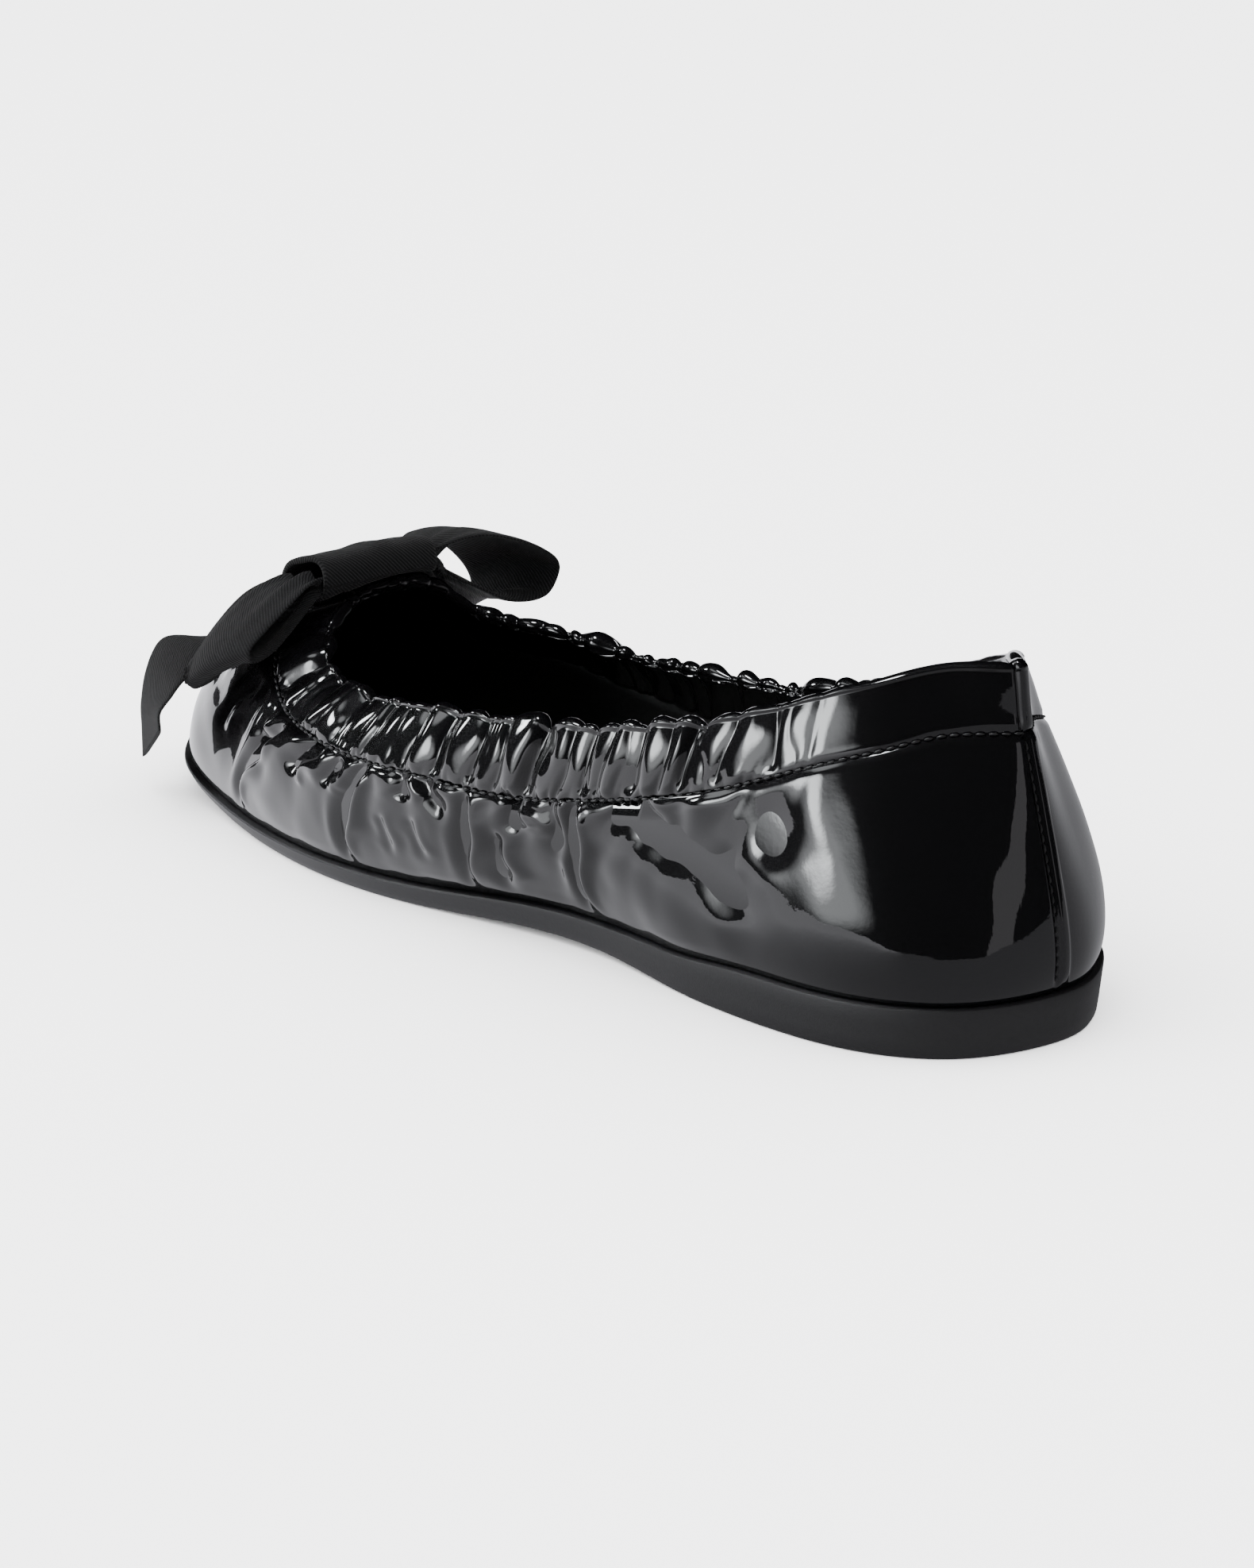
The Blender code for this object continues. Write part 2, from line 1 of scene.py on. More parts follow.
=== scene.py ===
"""Looks of the ballet flat: patent upper with its gathers and creases, casing, sole, sock and bow.

Everything is in the part's own frame, in metres: +Y to the toe, +X to the medial side, +Z up, and
the origin in the middle of the heel's flat underside. The sizes and section rows are those of the
part, so that each piece lies where its solid lies.
"""

import math
from collections import namedtuple

import bmesh
import bpy
import numpy as np
from mathutils import Matrix, Vector
from mathutils.bvhtree import BVHTree


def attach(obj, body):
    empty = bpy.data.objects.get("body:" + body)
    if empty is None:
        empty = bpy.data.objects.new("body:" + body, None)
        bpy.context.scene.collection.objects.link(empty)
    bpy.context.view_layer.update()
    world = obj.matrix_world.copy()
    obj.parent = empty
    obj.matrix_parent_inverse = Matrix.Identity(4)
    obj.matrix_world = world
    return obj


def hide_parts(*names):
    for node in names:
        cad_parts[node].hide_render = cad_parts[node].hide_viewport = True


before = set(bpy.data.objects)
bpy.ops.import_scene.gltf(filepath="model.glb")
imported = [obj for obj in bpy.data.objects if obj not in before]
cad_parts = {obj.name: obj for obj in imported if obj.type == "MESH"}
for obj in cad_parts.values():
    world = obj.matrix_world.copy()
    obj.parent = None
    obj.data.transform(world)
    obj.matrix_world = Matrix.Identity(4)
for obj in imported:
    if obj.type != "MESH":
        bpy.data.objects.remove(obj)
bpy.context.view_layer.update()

# Sole
LENGTH = 0.248
BALL_WIDTH = 0.0790
WAIST_WIDTH = 0.0544
HEEL_WIDTH = 0.0684
TOE_WIDTH = 0.0620
HEEL_THICK = 0.0096
WAIST_THICK = 0.0055
BALL_THICK = 0.0038
TOE_THICK = 0.0028
ARCH_RISE = 0.0014
TOE_SPRING = 0.0053
SOLE_TUCK = 0.0012
EDGE_ROUND = 0.0006

# Upper, heights above the floor
BACK_HEIGHT = 0.0685
SIDE_HEIGHT = 0.0435
THROAT_HEIGHT = 0.0445
WALL = 0.0015
FEATHER_INSET = 0.0013
CASING_WIDTH = 0.0140
CASING_THICK = 0.0030

# Insole
INSOLE_THICK = 0.0024
INSOLE_CLEARANCE = 0.0004

# Ribbon bow. It starts BOW_SETBACK behind the throat's crest, RIBBON_RISE above it.
RIBBON_WIDTH = 0.0250
RIBBON_THICK = 0.0011
KNOT_LENGTH = 0.0270
KNOT_HEIGHT = 0.0110
KNOT_WRAP = 0.0008
RIBBON_RISE = 0.0004
BOW_SETBACK = 0.0008
KNOT_SIDE_GAP = 0.0006
LATERAL_LOOP_REACH = 0.0190
MEDIAL_LOOP_REACH = 0.0285
LOOP_DROOP = 0.0170
TAIL_REACH = 0.0210
TAIL_DROP = 0.0245

# Faces that touch keep this gap
SEAT_GAP = 0.0003

# The knot's section: its widest level as a share of its height, how square it is, and over what
# share of its length its underside looks for the vamp below
KNOT_WAIST = 0.40
KNOT_SQUARE = 0.60
KNOT_ROUND = 0.75
KNOT_REACH = 0.08

# Where the sole's underside leaves the floor, as shares of LENGTH
HEEL_REST_AT = 0.130
ARCH_FROM = 0.240
ARCH_TO = 0.600
TOE_SPRING_FROM = 0.746

WIDTHS = {"heel": HEEL_WIDTH, "waist": WAIST_WIDTH, "ball": BALL_WIDTH, "toe": TOE_WIDTH}
LEVELS = {"back": BACK_HEIGHT, "side": SIDE_HEIGHT, "throat": THROAT_HEIGHT}
THICKS = {"heel": HEEL_THICK, "waist": WAIST_THICK, "ball": BALL_THICK, "toe": TOE_THICK}

# One row for each section around the last, from the back seam along the lateral side to the toe
# and back along the medial side. along and top_along are shares of LENGTH, out and top_out of the
# row's width, top_up of its level. low_reach and high_reach swell the wall outward, as shares of
# the row's width; low_rise and high_drop set at what share of the wall's height they do it.
Section = namedtuple(
    "Section",
    "width along out top_along top_out level top_up"
    " low_reach low_rise high_reach high_drop casing",
)
SECTIONS = [
    Section("heel", 0.000, 0.000, 0.046, 0.000, "back", 1.000, 0.078, 0.17, 0.030, 0.33, 0.90),
    Section("heel", 0.018, -0.265, 0.080, -0.112, "back", 0.995, 0.090, 0.19, 0.065, 0.33, 0.92),
    Section("heel", 0.080, -0.440, 0.117, -0.238, "back", 0.950, 0.088, 0.22, 0.096, 0.33, 0.95),
    Section("heel", 0.165, -0.498, 0.171, -0.335, "back", 0.878, 0.070, 0.20, 0.100, 0.33, 1.00),
    Section("heel", 0.265, -0.492, 0.245, -0.412, "back", 0.778, 0.070, 0.22, 0.110, 0.33, 1.05),
    Section("waist", 0.365, -0.575, 0.334, -0.575, "side", 1.105, 0.130, 0.28, 0.120, 0.33, 1.12),
    Section("waist", 0.460, -0.610, 0.428, -0.592, "side", 0.998, 0.150, 0.28, 0.130, 0.33, 1.14),
    Section("ball", 0.560, -0.478, 0.528, -0.420, "side", 0.935, 0.075, 0.30, 0.130, 0.30, 1.08),
    Section("ball", 0.660, -0.504, 0.614, -0.400, "side", 0.860, 0.050, 0.32, 0.150, 0.26, 1.02),
    Section("ball", 0.760, -0.464, 0.688, -0.335, "side", 0.812, 0.045, 0.34, 0.170, 0.20, 1.00),
    Section("toe", 0.850, -0.500, 0.7385, -0.340, "throat", 0.805, 0.040, 0.36, 0.200, 0.14, 1.00),
    Section("toe", 0.925, -0.390, 0.771, -0.240, "throat", 0.885, 0.035, 0.38, 0.250, 0.08, 1.00),
    Section("toe", 0.976, -0.215, 0.788, -0.120, "throat", 0.950, 0.035, 0.40, 0.280, 0.02, 1.00),
    Section("toe", 1.000, 0.010, 0.795, 0.000, "throat", 0.985, 0.035, 0.42, 0.300, 0.00, 1.00),
    Section("toe", 0.976, 0.245, 0.794, 0.120, "throat", 0.990, 0.035, 0.40, 0.280, 0.02, 1.00),
    Section("toe", 0.925, 0.420, 0.788, 0.235, "throat", 0.940, 0.035, 0.38, 0.250, 0.08, 1.00),
    Section("toe", 0.850, 0.525, 0.766, 0.340, "throat", 0.820, 0.040, 0.36, 0.200, 0.14, 1.00),
    Section("ball", 0.770, 0.480, 0.717, 0.335, "side", 0.812, 0.045, 0.34, 0.170, 0.20, 1.00),
    Section("ball", 0.680, 0.488, 0.647, 0.372, "side", 0.790, 0.050, 0.32, 0.150, 0.26, 1.00),
    Section("ball", 0.585, 0.425, 0.561, 0.372, "side", 0.818, 0.075, 0.30, 0.130, 0.30, 1.02),
    Section("waist", 0.485, 0.490, 0.465, 0.515, "side", 0.878, 0.150, 0.28, 0.130, 0.33, 1.06),
    Section("waist", 0.390, 0.428, 0.374, 0.490, "side", 0.965, 0.150, 0.28, 0.120, 0.33, 1.10),
    Section("heel", 0.290, 0.400, 0.265, 0.395, "back", 0.733, 0.078, 0.22, 0.110, 0.33, 1.05),
    Section("heel", 0.180, 0.470, 0.172, 0.329, "back", 0.860, 0.070, 0.20, 0.100, 0.33, 1.00),
    Section("heel", 0.085, 0.415, 0.117, 0.238, "back", 0.930, 0.090, 0.22, 0.098, 0.33, 0.95),
    Section("heel", 0.020, 0.210, 0.080, 0.110, "back", 0.985, 0.084, 0.18, 0.048, 0.33, 0.92),
]

# Thickness of the sole's side: where, as a share of LENGTH, and which thickness it has there
SoleSide = namedtuple("SoleSide", "along thick share")
SOLE_SIDE = [
    SoleSide(0.00, "heel", 1.00),
    SoleSide(0.17, "heel", 1.00),
    SoleSide(0.29, "heel", 0.77),
    SoleSide(0.40, "waist", 1.00),
    SoleSide(0.55, "ball", 1.18),
    SoleSide(0.70, "ball", 1.00),
    SoleSide(0.84, "toe", 1.14),
    SoleSide(1.00, "toe", 1.00),
]

# The ribbon pieces: a row for each place along the strip's middle line, from the knot's side.
# out is a share of the piece's reach and up of its droop, measured from the knot's side and its
# middle height; fore and wide are shares of the ribbon's width. yaw turns the front edge towards
# the shoe's middle, pitch lowers it, in degrees.
Fold = namedtuple("Fold", "out fore up wide yaw pitch")
LATERAL_LOOP = [
    Fold(0.00, 0.00, 0.14, 0.56, 0, 14),
    Fold(0.08, 0.05, 0.12, 0.66, 0, 14),
    Fold(0.24, 0.13, 0.00, 0.84, 0, 15),
    Fold(0.50, 0.16, -0.23, 0.92, -2, 17),
    Fold(0.76, 0.16, -0.48, 0.92, -4, 20),
    Fold(0.97, 0.12, -0.70, 0.88, -8, 27),
    Fold(1.00, 0.08, -0.80, 0.80, -8, 29),
    Fold(0.92, 0.05, -0.86, 0.74, -6, 29),
    Fold(0.64, 0.06, -0.76, 0.74, -2, 27),
    Fold(0.28, 0.08, -0.43, 0.74, 0, 20),
    Fold(0.08, 0.05, -0.16, 0.66, 0, 14),
    Fold(0.00, 0.00, -0.13, 0.56, 0, 14),
]
MEDIAL_LOOP = [
    Fold(0.00, 0.00, 0.14, 0.56, 0, 14),
    Fold(0.06, 0.05, 0.15, 0.66, 0, 13),
    Fold(0.24, 0.15, 0.20, 0.86, 0, 10),
    Fold(0.48, 0.21, 0.18, 1.00, 2, 8),
    Fold(0.78, 0.21, -0.04, 1.00, 8, 11),
    Fold(0.97, 0.19, -0.31, 0.96, 15, 14),
    Fold(1.00, 0.17, -0.56, 0.90, 17, 15),
    Fold(0.88, 0.13, -0.80, 0.84, 14, 15),
    Fold(0.62, 0.12, -0.74, 0.80, 8, 13),
    Fold(0.30, 0.10, -0.36, 0.76, 0, 11),
    Fold(0.06, 0.05, -0.15, 0.66, 0, 13),
    Fold(0.00, 0.00, -0.13, 0.56, 0, 14),
]
TAIL = [
    Fold(0.00, 0.10, -0.18, 0.56, 0, 17),
    Fold(0.05, 0.16, -0.22, 0.60, 6, 17),
    Fold(0.19, 0.42, -0.42, 0.74, 22, 14),
    Fold(0.36, 0.70, -0.55, 0.82, 16, 4),
    Fold(0.57, 0.88, -0.57, 0.84, 8, 1),
    Fold(0.80, 0.92, -0.75, 0.84, 12, 5),
    Fold(0.94, 0.92, -0.96, 0.86, 18, 4),
    Fold(1.00, 0.92, -1.12, 0.88, 24, 2),
    Fold(1.00, 0.92, -1.32, 0.90, 25, 0),
]

# The tail's end is cut this much aslant, over this share of its length
TAIL_CUT = 0.0060
TAIL_CUT_RAMP = 0.40

# The strips are arched across their width by CROWN, growing over CROWN_RAMP of their length. A
# strip that runs less than LIFT_MOST into what is under it is laid on top of it.
CROWN = 0.0026
TAIL_CROWN = 0.0008
CROWN_RAMP = 0.40
LIFT_MOST = 0.0060

# Rays that look down for what carries a strip start this high. The wall's slope is read over this
# share of its section, and its seam is looked for in so many steps of it.
SKY = 0.5
SLOPE_STEP = 0.004
SEAM_SEARCH_STEPS = 101


def hermite(start, end, start_slope, end_slope, t):
    return (
        (2 * t**3 - 3 * t**2 + 1) * start
        + (t**3 - 2 * t**2 + t) * start_slope
        + (3 * t**2 - 2 * t**3) * end
        + (t**3 - t**2) * end_slope
    )


def closed_curve(rows, steps):
    """Smooth closed curve through the rows, with steps points from each row to the next."""
    rows = np.array(rows, dtype=float)
    count = len(rows)
    matrix = np.zeros((count, count))
    right = np.zeros(rows.shape)
    for i in range(count):
        matrix[i, i] = 4.0
        matrix[i, i - 1] = 1.0
        matrix[i, (i + 1) % count] = 1.0
        right[i] = 3.0 * (rows[(i + 1) % count] - rows[i - 1])
    slopes = np.linalg.solve(matrix, right)
    points = []
    for i in range(count):
        after = (i + 1) % count
        for k in range(steps):
            points.append(hermite(rows[i], rows[after], slopes[i], slopes[after], k / steps))
    return np.array(points)


def open_curve(rows, steps):
    """Smooth open curve through the rows, read at steps + 1 even places."""
    rows = np.array(rows, dtype=float)
    count = len(rows)
    slopes = np.zeros(rows.shape)
    slopes[1:-1] = (rows[2:] - rows[:-2]) / 2
    slopes[0] = rows[1] - rows[0]
    slopes[-1] = rows[-1] - rows[-2]
    points = []
    for place in np.linspace(0, count - 1, steps + 1):
        i = min(int(place), count - 2)
        points.append(hermite(rows[i], rows[i + 1], slopes[i], slopes[i + 1], place - i))
    return np.array(points)


def smooth_steps(xs, ys, x):
    """Curve through the points (xs, ys) that never runs past them, read at x."""
    xs = np.array(xs)
    ys = np.array(ys)
    gaps = np.diff(xs)
    rises = np.diff(ys) / gaps
    slopes = np.zeros(len(xs))
    for i in range(1, len(xs) - 1):
        if rises[i - 1] * rises[i] > 0:
            slopes[i] = 2 * rises[i - 1] * rises[i] / (rises[i - 1] + rises[i])
    x = np.clip(x, xs[0], xs[-1])
    i = np.clip(np.searchsorted(xs, x) - 1, 0, len(gaps) - 1)
    return hermite(
        ys[i], ys[i + 1], slopes[i] * gaps[i], slopes[i + 1] * gaps[i], (x - xs[i]) / gaps[i]
    )


def sole_bottom(y):
    """Height of the underside above the floor, y from the heel's back end."""
    along = np.asarray(y) / LENGTH
    arch = np.clip((along - ARCH_FROM) / (ARCH_TO - ARCH_FROM), 0, 1)
    toe = np.clip((along - TOE_SPRING_FROM) / (1 - TOE_SPRING_FROM), 0, None)
    return ARCH_RISE * np.sin(math.pi * arch) ** 2 + TOE_SPRING * toe**2


def sole_top(y):
    thick = smooth_steps(
        [row.along for row in SOLE_SIDE],
        [row.share * THICKS[row.thick] for row in SOLE_SIDE],
        np.asarray(y) / LENGTH,
    )
    return sole_bottom(y) + thick


def outward(loop):
    """Unit normals of a loop in plan, pointing away from the shoe's inside."""
    along = np.roll(loop[:, :2], -1, axis=0) - np.roll(loop[:, :2], 1, axis=0)
    along /= np.linalg.norm(along, axis=1)[:, None]
    normals = np.column_stack([-along[:, 1], along[:, 0]])
    if normals[0, 1] > 0:
        normals = -normals
    return normals


def around_last(read, steps):
    """Smooth closed curve through what read gives for each section row."""
    return closed_curve([read(row) for row in SECTIONS], steps)


def sole_edge(steps):
    return around_last(lambda row: (row.out * WIDTHS[row.width], row.along * LENGTH), steps)


def collar_line(steps):
    def read(row):
        across = row.top_out * WIDTHS[row.width]
        return across, row.top_along * LENGTH, row.top_up * LEVELS[row.level]

    return around_last(read, steps)


def wall_handles(steps):
    """Corner points, foot to collar, of the curve that each wall section follows."""

    def read(row):
        wide = WIDTHS[row.width]
        return row.low_reach * wide, row.low_rise, row.high_reach * wide, row.high_drop

    shape = around_last(read, steps)
    edge = sole_edge(steps)
    top = collar_line(steps)
    foot_out = outward(edge)
    top_out = outward(top)
    foot = edge - foot_out * FEATHER_INSET
    foot_z = sole_top(foot[:, 1]) + SEAT_GAP
    tall = top[:, 2] - foot_z
    low = foot + foot_out * shape[:, 0:1]
    high = top[:, :2] + top_out * shape[:, 2:3]
    return (
        np.column_stack([foot, foot_z]),
        np.column_stack([low, foot_z + tall * shape[:, 1]]),
        np.column_stack([high, top[:, 2] - tall * shape[:, 3]]),
        top,
    )


def wall_point(corners, t):
    foot, low, high, top = corners
    t = np.reshape(t, (-1, 1))
    return (
        (1 - t) ** 3 * foot
        + 3 * (1 - t) ** 2 * t * low
        + 3 * (1 - t) * t**2 * high
        + t**3 * top
    )


def seam_places(corners, down):
    """Where on each section's curve the wall is down metres below the collar's edge."""
    fine = np.linspace(0, 1, SEAM_SEARCH_STEPS)
    rows = np.array([wall_point(corners, np.full(len(corners[0]), t)) for t in fine])
    lengths = np.linalg.norm(np.diff(rows, axis=0), axis=2)
    below = np.vstack([np.cumsum(lengths[::-1], axis=0)[::-1], np.zeros(len(down))])
    return np.array([np.interp(down[i], below[::-1, i], fine[::-1]) for i in range(len(down))])


def wall_row(corners, t):
    """Points on the wall's outer face at place t of each section's curve, with their normals."""
    here = wall_point(corners, t)
    up = wall_point(corners, t + SLOPE_STEP) - wall_point(corners, t - SLOPE_STEP)
    around = np.roll(here, -1, axis=0) - np.roll(here, 1, axis=0)
    normal = np.cross(up, around)
    normal /= np.linalg.norm(normal, axis=1)[:, None]
    return here, normal if normal[0, 1] <= 0 else -normal


# Camera: it stands and looks as the photo's camera did, with angles in degrees. Its lens, in
# millimetres, is longer than the photo's, and a small shift brings the one shoe to the middle.
CAMERA_AT = (-0.82097, -0.92003, 0.41971)
CAMERA_AZIMUTH = -40.678
CAMERA_ELEVATION = 16.91
CAMERA_ROLL = -0.24
CAMERA_LENS = 165.24
CAMERA_SHIFT = (-0.117, -0.012)

# Soft cards that the leather mirrors, and a plain one behind the heel. azimuth 0 is towards the
# toe and 90 the medial side, in degrees from the shoe's middle.
Card = namedtuple("Card", "name azimuth elevation distance wide high strength")
SOFTBOXES = [
    Card("softbox_left", -70, 15, 1.5, 0.56, 0.56, 18.0),
    Card("softbox_wide", -77, 10, 1.7, 1.70, 0.85, 4.6),
    Card("softbox_top", -62, 62, 1.5, 0.60, 0.40, 70.0),
    Card("softbox_front", -28, 22, 1.6, 0.30, 0.40, 50.0),
    Card("softbox_high", -50, 40, 1.7, 1.00, 0.60, 3.6),
]
PANEL_REAR = Card("panel_rear", 178, 6, 1.6, 0.40, 1.0, 0.9)
SOFTBOX_WHITE = (0.95, 0.98, 1.0)

# Middle of the shoe along Y. Then the light of the pale world, the key lamp, the floor's half
# width, the dome that the leather mirrors, and how its mirrored floor is lit beside the heel and
# in front.
SHOE_MIDDLE = 0.09
WORLD_STRENGTH = 4.5
KEY_AT = (-0.6, 0.5, 1.6)
KEY_WATTS = 26.0
KEY_SIZE = 1.2
FLOOR_HALF = 3.0
DOME_RADIUS = 2.8
FLOOR_DIM = 0.50
FLOOR_LIT = 2.10

# Fineness of the meshes. The upper's rows lie closer together towards the seam.
SOLE_STEPS = 12
BOW_STEPS = 3
UPPER_STEPS = 40
UPPER_ROWS = 74
UPPER_ROW_POWER = 0.92
LINING_ROWS = 8
LINING_STRIDE = 4
CASING_STEPS = 66
CASING_FACE_ROWS = 22
CASING_CREST_ROWS = 9
CASING_BACK_ROWS = 12
RIBBON_FINE_STEPS = 170
RIBBON_FINE_ROWS = 28
KNOT_ROUNDS = 96
KNOT_ROWS = 40
STITCH_SIDES = 6
STITCH_RINGS = 5

# Shares of the wall's thickness that the skin takes, and where the lining begins
SKIN_SHARE = 0.55
LINING_FROM = 0.7

# Gathers of the collar: how strong they are around the collar, by section place
Gather = namedtuple("Gather", "place strength")
GATHERS = [
    Gather(0.0, 0.00),
    Gather(2.3, 0.02),
    Gather(2.9, 0.16),
    Gather(3.5, 0.60),
    Gather(4.4, 0.95),
    Gather(8.0, 1.00),
    Gather(11.5, 0.90),
    Gather(13.0, 0.70),
    Gather(14.5, 0.90),
    Gather(18.0, 1.00),
    Gather(21.2, 0.90),
    Gather(22.0, 0.40),
    Gather(22.7, 0.06),
    Gather(23.4, 0.00),
    Gather(26.0, 0.00),
]
GATHER_WIDTH = 0.0066
GATHER_DEPTH = 0.00190
PUCKER_WIDTH = 0.0108
PUCKER_DEPTH = 0.00200
PUCKER_FADE = 0.0090
CREST_SCALLOP = 0.00075
STITCH_PULL = 0.00045

# The casing's gathers and the upper's fine puckers share their seed, so they meet at the seam.
# The puckers begin this far below it, and the wall's relief this far above the sole.
GATHER_SEED = 11
FINE_SHARE = 0.22
FINE_FADE_SHARE = 0.38
PUCKER_START = 0.0032
FOOT_FADE = 0.0035

# Soft unevenness of the upper's wall: which way its waves cross, how high and how wide they are
Swell = namedtuple("Swell", "seed across height size")
SWELLS = [Swell(7, 1, 0.00022, 0.022), Swell(9, -1, 0.00009, 0.009)]

# Share of the casing's proudness that shows, and the share of its height over which it grows
CASING_SHOW = 0.75
CASING_GROWTH = 0.75

# Main creases, one row each. place counts the sections from the back seam, up is the share of the
# wall from the sole to the stitch line. bend bows the crease sideways, in sections. depth is below
# the surface (negative: a ridge), and lip is the height of the fold's raised side.
Crease = namedtuple("Crease", "place up to_place to_up bend width depth lip")
CREASES = [
    Crease(7.66, 1.02, 7.70, 0.02, 0.07, 0.0014, 0.00310, 0.00160),
    Crease(9.10, 0.96, 9.46, 0.04, 0.18, 0.0014, 0.00230, 0.00110),
    Crease(6.50, 1.00, 6.42, 0.04, -0.05, 0.0014, 0.00190, 0.00100),
    Crease(6.10, 0.72, 6.02, 0.06, 0.02, 0.0018, 0.00120, 0.00060),
    Crease(5.34, 1.04, 5.16, 0.04, -0.05, 0.0015, 0.00320, 0.00170),
    Crease(5.16, 1.02, 2.90, 0.24, -0.20, 0.0058, 0.00150, 0.00110),
    Crease(7.34, 0.62, 7.16, 0.22, -0.03, 0.0010, 0.00060, 0.00030),
    Crease(7.02, 0.66, 6.78, 0.26, -0.02, 0.0010, 0.00060, 0.00030),
    Crease(3.90, 1.04, 2.90, 0.56, -0.16, 0.0066, 0.00090, 0.00030),
    Crease(8.30, 1.02, 8.62, 0.62, 0.14, 0.0018, 0.00150, 0.00090),
    Crease(9.60, 0.98, 8.95, 0.56, 0.30, 0.0020, 0.00110, 0.00080),
    Crease(8.00, 0.96, 8.06, 0.66, 0.04, 0.0016, 0.00110, 0.00060),
    Crease(7.20, 1.02, 7.06, 0.74, 0.00, 0.0017, 0.00120, 0.00060),
    Crease(6.90, 1.02, 6.50, 0.70, 0.10, 0.0020, 0.00110, 0.00060),
    Crease(5.95, 1.04, 5.86, 0.66, 0.06, 0.0020, 0.00160, 0.00090),
    Crease(5.66, 1.02, 5.44, 0.50, -0.10, 0.0019, 0.00140, 0.00080),
    Crease(4.70, 1.02, 4.30, 0.74, -0.06, 0.0022, 0.00120, 0.00060),
    Crease(10.4, 0.95, 10.3, 0.45, 0.10, 0.0020, 0.00080, 0.00040),
    Crease(11.4, 0.96, 11.3, 0.60, 0.10, 0.0022, 0.00070, 0.00040),
    Crease(14.9, 0.96, 14.8, 0.50, 0.10, 0.0020, 0.00080, 0.00040),
    Crease(15.9, 1.00, 15.7, 0.30, 0.12, 0.0018, 0.00100, 0.00060),
    Crease(16.8, 1.02, 16.5, 0.06, -0.10, 0.0017, 0.00150, 0.00090),
    Crease(17.5, 1.00, 17.4, 0.62, 0.08, 0.0020, 0.00120, 0.00070),
    Crease(18.3, 1.02, 18.4, 0.04, -0.06, 0.0019, 0.00190, 0.00120),
    Crease(19.0, 1.00, 19.1, 0.46, 0.12, 0.0017, 0.00090, 0.00050),
    Crease(19.8, 1.02, 20.0, 0.05, 0.10, 0.0020, 0.00170, 0.00110),
    Crease(20.4, 1.02, 21.6, 0.42, 0.16, 0.0032, 0.00150, 0.00100),
    Crease(21.2, 1.00, 21.4, 0.70, 0.05, 0.0022, 0.00120, 0.00060),
    Crease(22.0, 1.00, 23.1, 0.56, 0.14, 0.0036, 0.00110, 0.00060),
]

# Points along a crease, and how many of its widths its relief reaches
CREASE_STEPS = 33
CREASE_REACH = 8

# How many times the relief of creases and of puckers is averaged with its neighbours
SOFTEN_TIMES = 2
PUCKER_SOFTEN_TIMES = 8

# Soft dents and swellings of the wall: where, how wide and how deep (negative: a swelling)
Dent = namedtuple("Dent", "place up radius depth")
DENTS = [
    Dent(3.25, 0.70, 0.0085, 0.00110),
    Dent(4.10, 0.36, 0.0090, -0.00060),
    Dent(5.60, 0.36, 0.0100, 0.00060),
    Dent(6.80, 0.30, 0.0110, -0.00060),
    Dent(8.30, 0.34, 0.0120, -0.00050),
    Dent(9.10, 0.78, 0.0050, -0.00110),
    Dent(21.8, 0.66, 0.0090, 0.00100),
    Dent(19.4, 0.34, 0.0100, 0.00060),
]

# Back seam: width and height of the lap, width and depth of the sewn groove beside it, and where
# its stitches begin and end, as shares of the wall
SEAM_LAP = 0.0030
SEAM_STEP = 0.00060
SEAM_GROOVE = 0.00050
SEAM_GROOVE_DEPTH = 0.00075
SEAM_STITCHES = (0.06, 0.985)

STITCH_PITCH = 0.0023
STITCH_LENGTH = 0.0017
STITCH_THICK = 0.00052

TWILL_PITCH = 0.00042

# Sole's side from the underside up: how far in from the edge, how far above the share of its
# thickness that comes last. Its shading breaks at edges sharper than this angle.
SoleRow = namedtuple("SoleRow", "depth rise share")
SOLE_PROFILE = [
    SoleRow(SOLE_TUCK + 0.0026, 0.0, 0.0),
    SoleRow(SOLE_TUCK + 0.0010, 0.0, 0.0),
    SoleRow(SOLE_TUCK + 0.0003, 0.00015, 0.0),
    SoleRow(SOLE_TUCK, EDGE_ROUND, 0.0),
    SoleRow(SOLE_TUCK * 0.66, 0.0, 0.33),
    SoleRow(SOLE_TUCK * 0.33, 0.0, 0.66),
    SoleRow(0.00004, -EDGE_ROUND, 1.0),
    SoleRow(0.00020, -EDGE_ROUND * 0.30, 1.0),
    SoleRow(EDGE_ROUND, 0.0, 1.0),
    SoleRow(0.0024, 0.0, 1.0),
]
SOLE_SHARP_FROM = 40

# Sock: how far in from its side the rounded edge is read, and its rows towards the middle line
SOCK_EDGE = (0.0004, 0.0010, 0.0020)
SOCK_ROWS = (0.25, 0.5, 0.75)

# Ribbon: air under a strip, the share of its thickness that shows, its pleats beside the knot and
# its waves. Knot: depth of its folds, how far its ends drop, and the thickness of its band.
RIBBON_CLEAR = 0.0005
RIBBON_SHOWN = 0.78
PLEAT_DEPTH = 0.00085
PLEAT_FADE = 0.0065
RIBBON_WAVE = 0.00045
KNOT_FOLD = 0.00045
KNOT_EDGE_DROP = 0.0005
KNOT_BAND = 0.0012


def set_inputs(node, **values):
    """Sets inputs of a node, with an underscore for each space in their names."""
    for name, value in values.items():
        node.inputs[name.replace("_", " ")].default_value = value
    return node


def link(tree, source, output, target, entry):
    tree.links.new(source.outputs[output], target.inputs[entry])


def material(name, colour, roughness, **more):
    """A new material, its node tree and its shader."""
    made = bpy.data.materials.new(name)
    made.use_nodes = True
    shader = made.node_tree.nodes["Principled BSDF"]
    set_inputs(shader, Base_Color=(*colour, 1.0), Roughness=roughness, **more)
    return made, made.node_tree, shader


